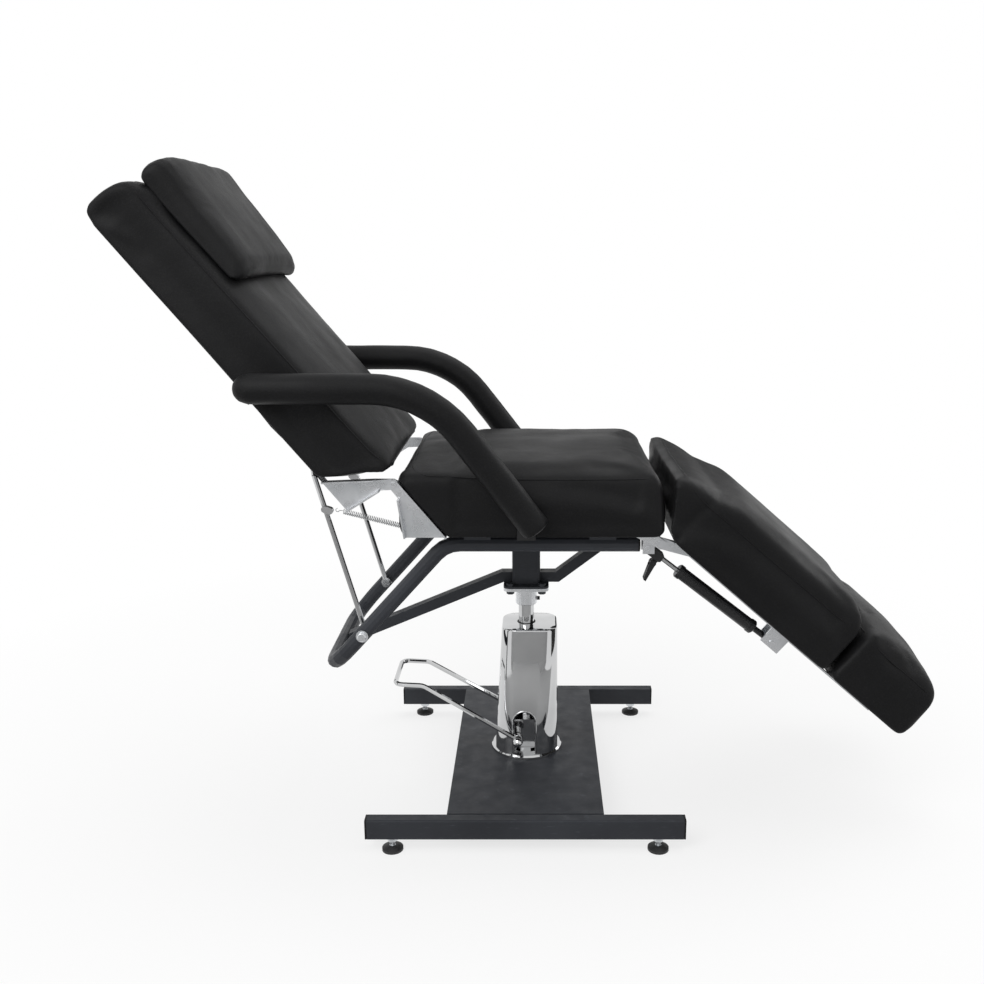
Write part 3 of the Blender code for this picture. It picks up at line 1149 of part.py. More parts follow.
outside = RAIL_Y + RAIL_RADIUS + GAP
nut_face = BAIL_Y - BAIL_EYE_THICKNESS / 2 - GAP
for name, side in SIDES:
    bm = bmesh.new()
    middle = (BAIL_PIVOT_X, 0.0, BAIL_PIVOT_Z)
    shank = BAIL_BOLT_RADIUS
    profile = [(0.0, nut_face - 0.007), (shank + 0.0035, nut_face - 0.007), (shank + 0.0035, nut_face),
               (shank, nut_face), (shank, outside), (0.012, outside), (0.012, outside + 0.0015),
               (0.0085, outside + 0.0015), (0.0085, outside + 0.0065), (0.007, outside + 0.008), (0.0, outside + 0.008)]
    turned(bm, [(radius, side * along) for radius, along in profile], 12, "Y", middle)
    piece("bail_bolt_" + name, bm, ZINC, seat)

hook = Vector((SPRING_HOOK_X, 0.0, hook_low + 0.002))
clip = Vector((BAIL_PIVOT_X + clip_x + 0.017, 0.0, BAIL_PIVOT_Z + clip_z - 0.005))
run = (clip - hook).normalized()
up = Vector((0.0, 1.0, 0.0))
sideways = run.cross(up)
for name, side in SIDES:
    bm = bmesh.new()
    base = Vector((0.0, side * SPRING_Y, 0.0))
    coil_start = hook + run * SPRING_END
    coil_end = clip - run * SPRING_END
    path = [base + hook + run * 0.0065]
    steps = SPRING_TURNS * 6
    for i in range(steps + 1):
        angle = 2 * math.pi * i / 6
        spoke = up * math.cos(angle) + sideways * math.sin(angle)
        path.append(base + coil_start.lerp(coil_end, i / steps) + spoke * SPRING_RADIUS)
    path.append(base + clip)
    sweep(bm, path, SPRING_WIRE, 3)
    piece("return_spring_" + name, bm, SPRING_STEEL, seat)


# Leg rest: two cushions on two boards joined by straps, with the soft knee end
legrest = carrier("legrest_carrier", LEG_HINGE_X, LEG_HINGE_Z, 0.0, LEG_DROP, seat)
leg_end = LEG_SPLIT - SPLIT_HALF_GAP
foot_start = LEG_SPLIT + SPLIT_HALF_GAP
bm = bmesh.new()
cushion(bm, [(LEG_START, LEG_UNDERSIDE), (LEG_START, 0.130), (0.030, 0.138), (0.075, LEG_FACE),
             (leg_end - 0.026, LEG_FACE), (leg_end - 0.007, LEG_FACE - 0.007), (leg_end, LEG_FACE - 0.024),
             (leg_end, LEG_UNDERSIDE + 0.008), (leg_end - 0.006, LEG_UNDERSIDE)], LEG_CROWN, LEG_FACE)
leg_cushion = piece("leg_cushion", bm, BLACK_VINYL, legrest)
bm = bmesh.new()
cushion(bm, [(foot_start, LEG_UNDERSIDE + 0.010), (foot_start, FOOT_FACE - 0.014), (foot_start + 0.010, FOOT_FACE),
             (FOOT_END - 0.043, FOOT_FACE), (FOOT_END - 0.015, FOOT_FACE - 0.008), (FOOT_END - 0.003, FOOT_FACE - 0.026),
             (FOOT_END, LEG_UNDERSIDE + 0.025), (FOOT_END - 0.007, LEG_UNDERSIDE + 0.005),
             (FOOT_END - 0.018, LEG_UNDERSIDE), (foot_start + 0.006, LEG_UNDERSIDE)], LEG_CROWN, FOOT_FACE)
foot_cushion = piece("foot_cushion", bm, BLACK_VINYL, legrest)
for name, soft, near, far in (("leg", leg_cushion, LEG_START + 0.006, leg_end - 0.006),
                              ("foot", foot_cushion, foot_start + 0.006, FOOT_END - 0.014)):
    board_level = LEG_UNDERSIDE + BOARD_THICKNESS
    bm = bmesh.new()
    prism(bm, rounded_box((far - near) / 2, BOARD_HALF, 0.004, 2, ((near + far) / 2, 0.0)),
          LEG_UNDERSIDE, board_level, "Z")
    piece(name + "_board", bm, BOARD, legrest)
    combine(soft, board_pocket(name + "_pocket", near, far, LEG_UNDERSIDE, board_level, legrest), "DIFFERENCE")

bm = bmesh.new()
knee_x = LEG_START - GAP
knee_ring = [(knee_x, LEG_UNDERSIDE), (-0.004, 0.030), (-KNEE_REACH, 0.104), (-KNEE_REACH + 0.006, 0.118),
             (-0.020, 0.130), (knee_x, 0.134)]
cushion(bm, knee_ring, 0.0, 0.130)
piece("knee_bolster", bm, BLACK_VINYL, legrest)

# Leg hinges: a leaf with its pin under the seat board, and a long folded leaf that joins both leg boards
leaf_hole = circle(0.0, 0.0, LEG_PIN_RADIUS + RUNNING_GAP, 10)
leaf_z = SEAT_UNDERSIDE_Z - sheet_rest - LEG_HINGE_Z
strap_z = LEG_UNDERSIDE - sheet_rest
leg_leaf_y = LEG_EAR_Y - HINGE_SHEET - RUNNING_GAP
short_leaf = [(-0.055, leaf_z)] + arc(0.0, 0.0, LEG_EAR_RADIUS, -140, 10, 8) + [(-0.009, leaf_z)]
long_leaf = arc(0.0, 0.0, LEG_EAR_RADIUS, 120, 300, 8) + [(0.060, strap_z), (0.016, strap_z)]
for name, side in SIDES:
    plate = folded_sheet("seat_leg_leaf_" + name, side, shifted(short_leaf, LEG_HINGE_X, LEG_HINGE_Z),
                         {len(short_leaf) - 1: (0.010, 0.0)}, [], LEG_EAR_Y, HINGE_SHEET, ZINC, seat)
    bm = bmesh.new()
    headed_pin(bm, LEG_HINGE_X, LEG_HINGE_Z, LEG_PIN_RADIUS, 0.0065,
               side * (leg_leaf_y - HINGE_SHEET / 2 - GAP - 0.0025), side * (LEG_EAR_Y + HINGE_SHEET / 2 + 0.002))
    combine(plate, tool("leg_pin_" + name, bm, seat), "UNION")
    folded_sheet("leg_leaf_" + name, side, long_leaf, {8: (STRAP_WIDTH, 0.060 - STRAP_END)}, [leaf_hole],
                 leg_leaf_y, HINGE_SHEET, ZINC, legrest)


# Gas spring: its two clip brackets, head with release paddle, rod and cylinder
def clip_bracket(name, x_low, x_high, base_top, pin_x, pin_z, material, parent):
    """A bent clip under a board that holds one end of the gas spring between its ears."""
    low = pin_z - 0.009
    h = BRACKET_HALF
    s = BRACKET_SHEET
    profile = [(STRUT_Y + a, b) for a, b in
               ((-h, base_top), (h, base_top), (h, low), (h - s, low), (h - s, base_top - s),
                (-h + s, base_top - s), (-h + s, low), (-h, low))]
    bm = bmesh.new()
    prism(bm, profile, x_low, x_high, "X")
    bracket = piece(name, bm, material, parent)
    bm = bmesh.new()
    headed_pin(bm, pin_x, pin_z, STRUT_PIN_RADIUS, 0.006, STRUT_Y - h - 0.0020, STRUT_Y + h + 0.0020)
    combine(bracket, tool(name + "_pin", bm, parent), "UNION")


clip_bracket("strut_seat_clip", STRUT_PIVOT_X - 0.0095, STRUT_PIVOT_X + 0.0125, SEAT_UNDERSIDE_Z - GAP,
             STRUT_PIVOT_X, STRUT_PIVOT_Z, ZINC, seat)
clip_bracket("strut_leg_clip", STRUT_LEG_X - 0.021, STRUT_LEG_X + 0.022, LEG_UNDERSIDE - GAP,
             STRUT_LEG_X, STRUT_LEG_Z, ZINC, legrest)

strut_far = leg_place(STRUT_LEG_X, STRUT_LEG_Z)
strut_start = (STRUT_PIVOT_X, STRUT_PIVOT_Z)
strut_length = math.dist(strut_start, strut_far)
strut = carrier("gas_spring_carrier", STRUT_PIVOT_X, STRUT_PIVOT_Z, STRUT_Y, -slope_of(strut_start, strut_far), seat)
bm = bmesh.new()
prism(bm, arc(0.0, 0.0, STRUT_EYE_RADIUS, 90, 270, 9) + [(STRUT_HEAD_END - 0.004, -STRUT_EYE_RADIUS),
      (STRUT_HEAD_END, -0.006), (STRUT_HEAD_END, 0.006), (STRUT_HEAD_END - 0.004, STRUT_EYE_RADIUS)],
      -STRUT_HEAD_HALF, STRUT_HEAD_HALF, "Y", [circle(0.0, 0.0, STRUT_PIN_RADIUS + GAP, 12)])
head = piece("strut_head", bm, BLACK_STEEL, strut)
bm = bmesh.new()
prism(bm, [(PADDLE_X + 0.0055, -0.004)] + arc(PADDLE_X, -PADDLE_DROP, 0.0055, 0, -180, 7) + [(PADDLE_X - 0.0055, -0.004)],
      -0.006, 0.006, "Y")
combine(head, tool("paddle_lug", bm, strut), "UNION")
bm = bmesh.new()
rod(bm, PADDLE_PIN_RADIUS, -0.0105, 0.0105, 8, "Y", (PADDLE_X, 0.0, -PADDLE_DROP))
combine(head, tool("paddle_pin", bm, strut), "UNION")
bm = bmesh.new()
rod(bm, STRUT_ROD_RADIUS, STRUT_HEAD_END + GAP, STRUT_TUBE_END - 0.020, 12, "X")
piece("strut_rod", bm, CHROME, strut)

cylinder = carrier("gas_cylinder_carrier", 0.0, 0.0, 0.0, 0.0, strut)
bore = STRUT_ROD_RADIUS + RUNNING_GAP
ridge = STRUT_TUBE_RADIUS + STRUT_COLLAR
bm = bmesh.new()
turned(bm, [(0.0, STRUT_TUBE_END - 0.010), (bore, STRUT_TUBE_END - 0.010), (bore, STRUT_TUBE_START),
            (ridge - 0.002, STRUT_TUBE_START), (ridge, STRUT_TUBE_START + 0.002),
            (ridge, STRUT_TUBE_START + 0.010), (STRUT_TUBE_RADIUS, STRUT_TUBE_START + 0.011),
            (STRUT_TUBE_RADIUS, STRUT_TUBE_END - 0.011), (ridge, STRUT_TUBE_END - 0.010),
            (ridge, STRUT_TUBE_END - 0.002), (ridge - 0.002, STRUT_TUBE_END), (0.006, STRUT_TUBE_END),
            (0.006, strut_length - 0.006), (0.0, strut_length - 0.006)], 18, "X")
tube = piece("gas_cylinder", bm, BLACK_STEEL, cylinder)
bm = bmesh.new()
prism(bm, circle(strut_length, 0.0, STRUT_EYE_RADIUS + 0.001, 16), -0.008, 0.008, "Y")
combine(tube, tool("cylinder_eye", bm, cylinder), "UNION")
bm = bmesh.new()
rod(bm, STRUT_PIN_RADIUS + CLEVIS_CLEARANCE, -0.02, 0.02, 14, "Y", (strut_length, 0.0, 0.0))
combine(tube, tool("cylinder_eye_bore", bm, cylinder), "DIFFERENCE")

paddle = carrier("paddle_carrier", PADDLE_X, -PADDLE_DROP, 0.0, 0.0, strut)
bm = bmesh.new()
prism(bm, arc(0.0, 0.0, 0.006, -20, 200, 9) + [(0.006, -PADDLE_LENGTH), (0.011, -PADDLE_LENGTH)], -0.010, 0.010, "Y")
blade = piece("release_paddle", bm, BLACK_PLASTIC, paddle)
bm = bmesh.new()
prism(bm, [(-0.02, -0.009), (0.02, -0.009), (0.02, 0.02), (-0.02, 0.02)], -0.0065, 0.0065, "Y")
combine(blade, tool("paddle_fork", bm, paddle), "DIFFERENCE")
bm = bmesh.new()
rod(bm, PADDLE_PIN_RADIUS + GAP, -0.02, 0.02, 8, "Y")
combine(blade, tool("paddle_hole", bm, paddle), "DIFFERENCE")
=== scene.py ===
"""Treatment couch on a foot-pumped column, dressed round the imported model.

Metres, +Z up, head end at -X, foot end at +X, near side at -Y. The file follows the couch
as it is put together, from the base bars up to the leg rest, and ends with the studio.
"""
import math

import bmesh
import bpy
import numpy as np
from mathutils import Matrix, Vector, noise
from mathutils.bvhtree import BVHTree


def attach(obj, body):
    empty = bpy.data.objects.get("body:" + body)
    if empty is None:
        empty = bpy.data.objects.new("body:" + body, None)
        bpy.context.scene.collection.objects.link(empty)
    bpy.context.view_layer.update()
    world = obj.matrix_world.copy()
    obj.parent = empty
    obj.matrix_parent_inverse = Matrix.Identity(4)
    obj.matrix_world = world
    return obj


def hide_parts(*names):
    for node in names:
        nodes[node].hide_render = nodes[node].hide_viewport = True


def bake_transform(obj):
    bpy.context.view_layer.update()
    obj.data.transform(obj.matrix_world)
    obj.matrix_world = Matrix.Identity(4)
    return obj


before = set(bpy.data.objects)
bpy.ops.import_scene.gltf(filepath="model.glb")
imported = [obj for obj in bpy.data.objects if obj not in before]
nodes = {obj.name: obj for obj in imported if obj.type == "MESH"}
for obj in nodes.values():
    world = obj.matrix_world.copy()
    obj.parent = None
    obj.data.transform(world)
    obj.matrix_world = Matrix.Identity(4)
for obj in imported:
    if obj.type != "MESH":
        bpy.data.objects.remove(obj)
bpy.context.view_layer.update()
bpy.ops.object.select_all(action="DESELECT")


# Base: two square tube bars joined by a folded plate, mild steel with a dark grey powder coat.
# The bars are closed by black plastic plugs, and the lock nuts under them are plated.
LIFT_X = -0.0219
BAR_PLUG_FROM = 0.2969
BAR_UNDERSIDE = 0.026


def place_of(tree):
    """Where a point lies on the object."""
    return tree.nodes.new("ShaderNodeTexCoord").outputs["Object"]


def new_finish(name):
    """An empty finish: its material, its node tree, its shader and its place on the object."""
    material = bpy.data.materials.new(name)
    material.use_nodes = True
    tree = material.node_tree
    return material, tree, tree.nodes["Principled BSDF"], place_of(tree)


def grain(tree, place, scale, detail=3.0, stretch=None):
    """Soft cloudy pattern, drawn out along an axis where stretch is given."""
    if stretch:
        mapping = tree.nodes.new("ShaderNodeMapping")
        mapping.inputs["Scale"].default_value = stretch
        tree.links.new(place, mapping.inputs["Vector"])
        place = mapping.outputs["Vector"]
    pattern = tree.nodes.new("ShaderNodeTexNoise")
    pattern.inputs["Scale"].default_value = scale
    pattern.inputs["Detail"].default_value = detail
    tree.links.new(place, pattern.inputs["Vector"])
    return pattern.outputs["Fac"]


def spread(tree, value, low, high, start=0.35, end=0.65):
    """Stretch a pattern's middle values over a range."""
    node = tree.nodes.new("ShaderNodeMapRange")
    tree.links.new(value, node.inputs["Value"])
    range_of = {"From Min": start, "From Max": end, "To Min": low, "To Max": high}
    for socket, number in range_of.items():
        node.inputs[socket].default_value = number
    return node.outputs["Result"]


def tint(tree, factor, first, second):
    """Mix two colours, given as numbers or as the output of another node."""
    node = tree.nodes.new("ShaderNodeMix")
    node.data_type = "RGBA"
    tree.links.new(factor, node.inputs[0])
    for socket, colour in ((node.inputs[6], first), (node.inputs[7], second)):
        if isinstance(colour, tuple):
            socket.default_value = (*colour, 1.0)
        else:
            tree.links.new(colour, socket)
    return node.outputs[2]


def level(tree, factor, first, second):
    """Mix two plain values, given as numbers or as outputs."""
    node = tree.nodes.new("ShaderNodeMix")
    tree.links.new(factor, node.inputs[0])
    for socket, value in ((node.inputs[2], first), (node.inputs[3], second)):
        if isinstance(value, (int, float)):
            socket.default_value = value
        else:
            tree.links.new(value, socket)
    return node.outputs[0]


def relief(tree, height, depth, below=None):
    """Raised and sunk detail of a given depth in metres."""
    bump = tree.nodes.new("ShaderNodeBump")
    bump.inputs["Distance"].default_value = depth
    tree.links.new(height, bump.inputs["Height"])
    if below:
        tree.links.new(below, bump.inputs["Normal"])
    return bump.outputs["Normal"]


def past(tree, place, axis, edge, middle=0.0, both=False, below=False):
    """1 past an edge along an axis, 0 before it; on both sides of the middle where asked."""
    split = tree.nodes.new("ShaderNodeSeparateXYZ")
    tree.links.new(place, split.inputs[0])
    away = tree.nodes.new("ShaderNodeMath")
    away.operation = "SUBTRACT"
    tree.links.new(split.outputs[axis], away.inputs[0])
    away.inputs[1].default_value = middle
    result = away.outputs[0]
    if both:
        size = tree.nodes.new("ShaderNodeMath")
        size.operation = "ABSOLUTE"
        tree.links.new(result, size.inputs[0])
        result = size.outputs[0]
    test = tree.nodes.new("ShaderNodeMath")
    test.operation = "LESS_THAN" if below else "GREATER_THAN"
    tree.links.new(result, test.inputs[0])
    test.inputs[1].default_value = edge
    return test.outputs[0]


def paint(tree, shader, colour, rough, metal, patches=()):
    """Set colour, roughness and metallic, with patches of another finish laid over them.

    patches lists (mask maker, colour, roughness, metallic) for small parts of another finish.
    """
    for mask_maker, other, other_rough, other_metal in patches:
        mask = mask_maker(tree, place_of(tree))
        colour = tint(tree, mask, colour, other)
        rough = level(tree, mask, rough, other_rough)
        metal = level(tree, mask, metal, other_metal)
    tree.links.new(colour, shader.inputs["Base Color"])
    tree.links.new(rough, shader.inputs["Roughness"])
    if patches:
        tree.links.new(metal, shader.inputs["Metallic"])
    else:
        shader.inputs["Metallic"].default_value = metal


def powder_coat(name, dark, light, patches=()):
    """Baked powder coat with orange peel, faint clouding, dust and thin rub marks."""
    material, tree, shader, place = new_finish(name)
    cloud = spread(tree, grain(tree, place, 6.0), 0.0, 1.0)
    colour = tint(tree, cloud, dark, light)
    rub = spread(tree, grain(tree, place, 60.0, 6.0, (1.0, 1.0, 7.0)), 0.0, 0.35, 0.62, 0.74)
    colour = tint(tree, rub, colour, tuple(2.2 * c for c in light))
    paint(tree, shader, colour, spread(tree, grain(tree, place, 30.0), 0.40, 0.56), 0.0, patches)
    shader.inputs["Specular IOR Level"].default_value = 0.25
    peel = relief(tree, grain(tree, place, 700.0, 2.0), 0.00010)
    peel = relief(tree, grain(tree, place, 90.0, 2.0), 0.00012, peel)
    tree.links.new(peel, shader.inputs["Normal"])
    return material


def dress(material, *names):
    """Give CAD nodes their finish."""
    for name in names:
        slots = nodes[name].data.materials
        for i in range(max(1, len(slots))):
            if i < len(slots):
                slots[i] = material
            else:
                slots.append(material)


DARK_GREY = (0.026, 0.028, 0.033)
MID_GREY = (0.036, 0.039, 0.046)
BLACK_PLUG = (0.008, 0.008, 0.009)
PLATED = (0.62, 0.64, 0.66)
bar_coat = powder_coat("bar_powder_coat", DARK_GREY, MID_GREY, (
    (lambda t, p: past(t, p, "X", BAR_PLUG_FROM, LIFT_X, both=True), BLACK_PLUG, 0.5, 0.0),
    (lambda t, p: past(t, p, "Z", BAR_UNDERSIDE - 0.0002, below=True), PLATED, 0.3, 1.0)))
dress(bar_coat, "base_bar_left", "base_bar_right")
plate_coat = powder_coat("plate_powder_coat", DARK_GREY, MID_GREY)
dress(plate_coat, "base_plate")


# Levelling feet: black moulded pads on plated studs that screw into the bars.
# The studs are threaded rod, so their finish carries the thread's fine rings.
PAD_TOP = 0.0098
STUD_PITCH = 0.00125


def moulded_plastic(name, colour):
    """Black moulded plastic with a fine spark texture."""
    material, tree, shader, place = new_finish(name)
    cloud = spread(tree, grain(tree, place, 25.0), 0.0, 1.0)
    tone = tint(tree, cloud, colour, tuple(1.5 * c for c in colour))
    paint(tree, shader, tone, spread(tree, grain(tree, place, 120.0), 0.45, 0.62), 0.0)
    shader.inputs["Specular IOR Level"].default_value = 0.35
    tree.links.new(relief(tree, grain(tree, place, 1600.0, 1.0), 0.00012), shader.inputs["Normal"])
    return material


def foot_finish():
    """Black plastic below the pad's top, plated thread above it."""
    material, tree, shader, place = new_finish("foot_and_stud")
    stud = past(tree, place, "Z", PAD_TOP)
    cloud = spread(tree, grain(tree, place, 40.0), 0.0, 1.0)
    black = tint(tree, cloud, (0.008, 0.008, 0.009), (0.014, 0.014, 0.015))
    tree.links.new(tint(tree, stud, black, PLATED), shader.inputs["Base Color"])
    tree.links.new(level(tree, stud, 0.55, 0.28), shader.inputs["Roughness"])
    tree.links.new(stud, shader.inputs["Metallic"])
    rings = tree.nodes.new("ShaderNodeTexWave")
    rings.bands_direction = "Z"
    rings.inputs["Scale"].default_value = 0.314 / STUD_PITCH
    tree.links.new(place, rings.inputs["Vector"])
    thread = tree.nodes.new("ShaderNodeMath")
    thread.operation = "MULTIPLY"
    tree.links.new(rings.outputs["Fac"], thread.inputs[0])
    tree.links.new(stud, thread.inputs[1])
    tree.links.new(relief(tree, thread.outputs[0], 0.0006), shader.inputs["Normal"])
    return material


foot_material = foot_finish()
dress(foot_material, "levelling_foot_1", "levelling_foot_2", "levelling_foot_3", "levelling_foot_4")


# Pump: a cast flange bolted to the plate and a tall pressed cover, both bright chrome plate.
# The arched opening for the pedal has a rolled lip, and the pump inside is dull bare steel.
LIP_RADIUS = 0.0021
LIP_CLEAR = 0.0016
SLOT_HALF = 0.022
SLOT_MIDDLE = -0.0259
SLOT_CROWN_Z = 0.146
SLOT_FOOT_Z = 0.0765
LIP_STEP = 0.0045
CLEAN = 0.035


def chrome_plate(name, smudge=0.05):
    """Mirror plating with faint smears, a slight wave of the sheet and tiny scratches."""
    material, tree, shader, place = new_finish(name)
    cloud = spread(tree, grain(tree, place, 9.0), 0.0, 1.0)
    tone = tint(tree, cloud, (0.53, 0.535, 0.54), (0.60, 0.605, 0.61))
    smear = grain(tree, place, 35.0, 5.0, (1.0, 1.0, 0.4))
    paint(tree, shader, tone, spread(tree, smear, CLEAN, CLEAN + smudge, 0.4, 0.7), 1.0)
    wave = relief(tree, grain(tree, place, 22.0, 1.0), 0.0003)
    tree.links.new(relief(tree, grain(tree, place, 900.0, 1.0, (1.0, 1.0, 0.05)), 0.000006, wave),
                   shader.inputs["Normal"])
    return material


chrome = chrome_plate("chrome_plate")
ROUND_UNDER = math.radians(32.0)


def only_active(piece):
    """Select one object alone."""
    bpy.ops.object.select_all(action="DESELECT")
    piece.select_set(True)
    bpy.context.view_layer.objects.active = piece


def polished(name, node, body, material):
    """A plated part with its rounds shaded smooth, so that it mirrors without facets."""
    part = bpy.data.objects.new(name, nodes[node].data.copy())
    bpy.context.collection.objects.link(part)
    only_active(part)
    bpy.ops.object.mode_set(mode="EDIT")
    bpy.ops.mesh.select_all(action="SELECT")
    bpy.ops.mesh.remove_doubles(threshold=0.00002)
    bpy.ops.mesh.customdata_custom_splitnormals_clear()
    bpy.ops.object.mode_set(mode="OBJECT")
    bpy.ops.object.shade_smooth_by_angle(angle=ROUND_UNDER)
    part.data.materials.clear()
    part.data.materials.append(material)
    part.select_set(False)
    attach(part, body)
    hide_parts(node)


polished("cover_shell", "pump_cover", "base", chrome)
polished("flange_casting", "pump_flange", "base", chrome)
dress(chrome, "strut_rod")


def tube_along(name, points, radius, cyclic=False, sides=2):
    """A thin round bead along a row of points, as a mesh."""
    curve = bpy.data.curves.new(name, "CURVE")
    curve.dimensions = "3D"
    curve.bevel_depth = radius
    curve.bevel_resolution = sides
    curve.use_fill_caps = True
    spline = curve.splines.new("POLY")
    spline.points.add(len(points) - 1)
    for spot, point in zip(spline.points, points):
        spot.co = (*point, 1.0)
    spline.use_cyclic_u = cyclic
    bead = bpy.data.objects.new(name, curve)
    bpy.context.collection.objects.link(bead)
    only_active(bead)
    bpy.ops.object.convert(target="MESH")
    bpy.ops.object.mode_set(mode="EDIT")
    bpy.ops.mesh.select_all(action="SELECT")
    bpy.ops.mesh.remove_doubles(threshold=0.00001)
    bpy.ops.mesh.normals_make_consistent(inside=False)
    bpy.ops.object.mode_set(mode="OBJECT")
    bpy.ops.object.shade_smooth()
    bead.select_set(False)
    return bead


def skin_of(mesh):
    """The surface of a mesh, to lay small parts on."""
    shape = bmesh.new()
    shape.from_mesh(mesh)
    surface = BVHTree.FromBMesh(shape)
    shape.free()
    return surface


cover_skin = skin_of(nodes["pump_cover"].data)
for side, side_name in ((-1, "left"), (1, "right")):
    lip_reach = SLOT_HALF + LIP_CLEAR
    flat_path = [(SLOT_MIDDLE - lip_reach, SLOT_FOOT_Z + LIP_STEP * i) for i in range(16)]
    flat_path += [(SLOT_MIDDLE - lip_reach * math.cos(math.radians(6 * i)),
                   SLOT_CROWN_Z + lip_reach * math.sin(math.radians(6 * i))) for i in range(31)]
    flat_path += [(SLOT_MIDDLE + lip_reach, SLOT_FOOT_Z + LIP_STEP * i) for i in range(15, -1, -1)]
    lip_path = []
    for x, z in flat_path:
        hit = cover_skin.ray_cast(Vector((x, side * 0.2, z)), Vector((0.0, -side, 0.0)))[0]
        if hit:
            lip_path.append(hit)
    lip = tube_along("cover_slot_lip_" + side_name, lip_path, LIP_RADIUS)
    lip.data.materials.append(chrome)
    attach(lip, "base")


def black_enamel(name, shine=0.3, patches=()):
    """Stoved black enamel on steel, with light dust and a soft uneven gloss."""
    material, tree, shader, place = new_finish(name)
    cloud = spread(tree, grain(tree, place, 18.0), 0.0, 1.0)
    colour = tint(tree, cloud, (0.006, 0.006, 0.007), (0.012, 0.012, 0.013))
    rough = spread(tree, grain(tree, place, 60.0), shine, shine + 0.14)
    paint(tree, shader, colour, rough, 0.0, patches)
    tree.links.new(relief(tree, grain(tree, place, 500.0, 2.0), 0.00006), shader.inputs["Normal"])
    return material


pump_black = black_enamel("pump_enamel", 0.32)
dress(pump_black, "lift_piston")
housing_steel = chrome_plate("housing_steel", 0.22)
dress(housing_steel, "pump_housing")
wiper_black = moulded_plastic("wiper_rubber", (0.007, 0.007, 0.008))
dress(wiper_black, "rod_wiper")


# Foot pedal: one bent steel rod with an eye at each end, chromed all over.
# Shoes rub its far end, so its plating is duller and more smeared than the cover's.
pedal_chrome = chrome_plate("pedal_chrome", 0.12)
polished("pedal_rod", "foot_pedal", "pedal", pedal_chrome)


# Lift rod, socket and plates: a chromed rod, and zinc plated steel clamped on it by a black
# set screw. The zinc is drawn in fine lines by the turning tool and clouded by the bath.
SOCKET_OUTSIDE = 0.0222


def bright_zinc(name, patches=()):
    """Bright zinc plate with a fine draw, clouding and a few handling marks."""
    material, tree, shader, place = new_finish(name)
    cloud = spread(tree, grain(tree, place, 14.0, 4.0), 0.0, 1.0)
    colour = tint(tree, cloud, (0.66, 0.68, 0.70), (0.80, 0.81, 0.83))
    rough = spread(tree, grain(tree, place, 45.0, 6.0), 0.22, 0.38)
    paint(tree, shader, colour, rough, 1.0, patches)
    drawn = relief(tree, grain(tree, place, 500.0, 2.0, (0.06, 1.0, 1.0)), 0.00003)
    tree.links.new(drawn, shader.inputs["Normal"])
    return material


polished("ram_rod", "lift_rod", "lift", chrome)
zinc = bright_zinc("bright_zinc")
socket_zinc = bright_zinc("socket_zinc", (
    (lambda t, p: past(t, p, "X", SOCKET_OUTSIDE, LIFT_X), BLACK_PLUG, 0.35, 0.6),))
dress(zinc, "mounting_plate", "bail_bolt_left", "bail_bolt_right", "strut_leg_clip",
      "strut_seat_clip")
dress(socket_zinc, "rod_socket")


# Seat frame: post, one bent round tube, two cross members and two braces, welded, powder coated.
# The tube's front ends take black plugs, and four black pads lift the board off the tube.
RAIL_PLUG_FROM = 0.1897
PAD_FROM = 0.5774
frame_coat = powder_coat("frame_powder_coat", DARK_GREY, MID_GREY, (
    (lambda t, p: past(t, p, "X", RAIL_PLUG_FROM), BLACK_PLUG, 0.5, 0.0),
    (lambda t, p: past(t, p, "Z", PAD_FROM), BLACK_PLUG, 0.6, 0.0)))
dress(frame_coat, "seat_frame")
dress(plate_coat, "post_foot_plate", "post", "post_cross_member", "front_cross_member",
      "rear_brace", "front_brace")


# Boards: plywood under every cushion, stained black, with the plies faint at the edges.
# The upholstery is stapled round them from below.
PLY = 0.0015


def stained_ply():
    """Black-stained veneer with long grain, and darker plies where the edge is cut."""
    material, tree, shader, place = new_finish("stained_ply")
    long_grain = spread(tree, grain(tree, place, 60.0, 5.0, (0.08, 1.0, 1.0)), 0.0, 1.0)
    colour = tint(tree, long_grain, (0.014, 0.012, 0.011), (0.030, 0.026, 0.023))
    plies = tree.nodes.new("ShaderNodeTexWave")
    plies.bands_direction = "Z"
    plies.inputs["Scale"].default_value = 0.314 / (2 * PLY)
    tree.links.new(place, plies.inputs["Vector"])
    darker = spread(tree, plies.outputs["Fac"], 0.0, 0.35, 0.3, 0.7)
    tree.links.new(tint(tree, darker, colour, (0.009, 0.008, 0.007)), shader.inputs["Base Color"])
    tree.links.new(spread(tree, grain(tree, place, 80.0), 0.60, 0.78), shader.inputs["Roughness"])
    tree.links.new(relief(tree, long_grain, 0.00012), shader.inputs["Normal"])
    return material


ply = stained_ply()
dress(ply, "seat_board", "back_board", "leg_board", "foot_board")


# Seat cushion: foam on its board under black vinyl leathercloth, crowned, with soft shoulders.
# The top panel is sewn to the side band, and that seam runs round the shoulder as a low welt.
VOXEL = 0.008
SEAT_STAND = Matrix.Identity(4)
SEAT_FLOOR = 0.590
WELT_RADIUS = 0.0013
WELT_HALF = 0.230
WELT_STEP = 0.006
WELT_REACH = 0.08
PINNED_TO = 0.010
LOOSE_FROM = 0.034
FILL_FRAMES = 20
RIPPLE_SCALE = 22.0
RIPPLE_HEIGHT = 0.0007


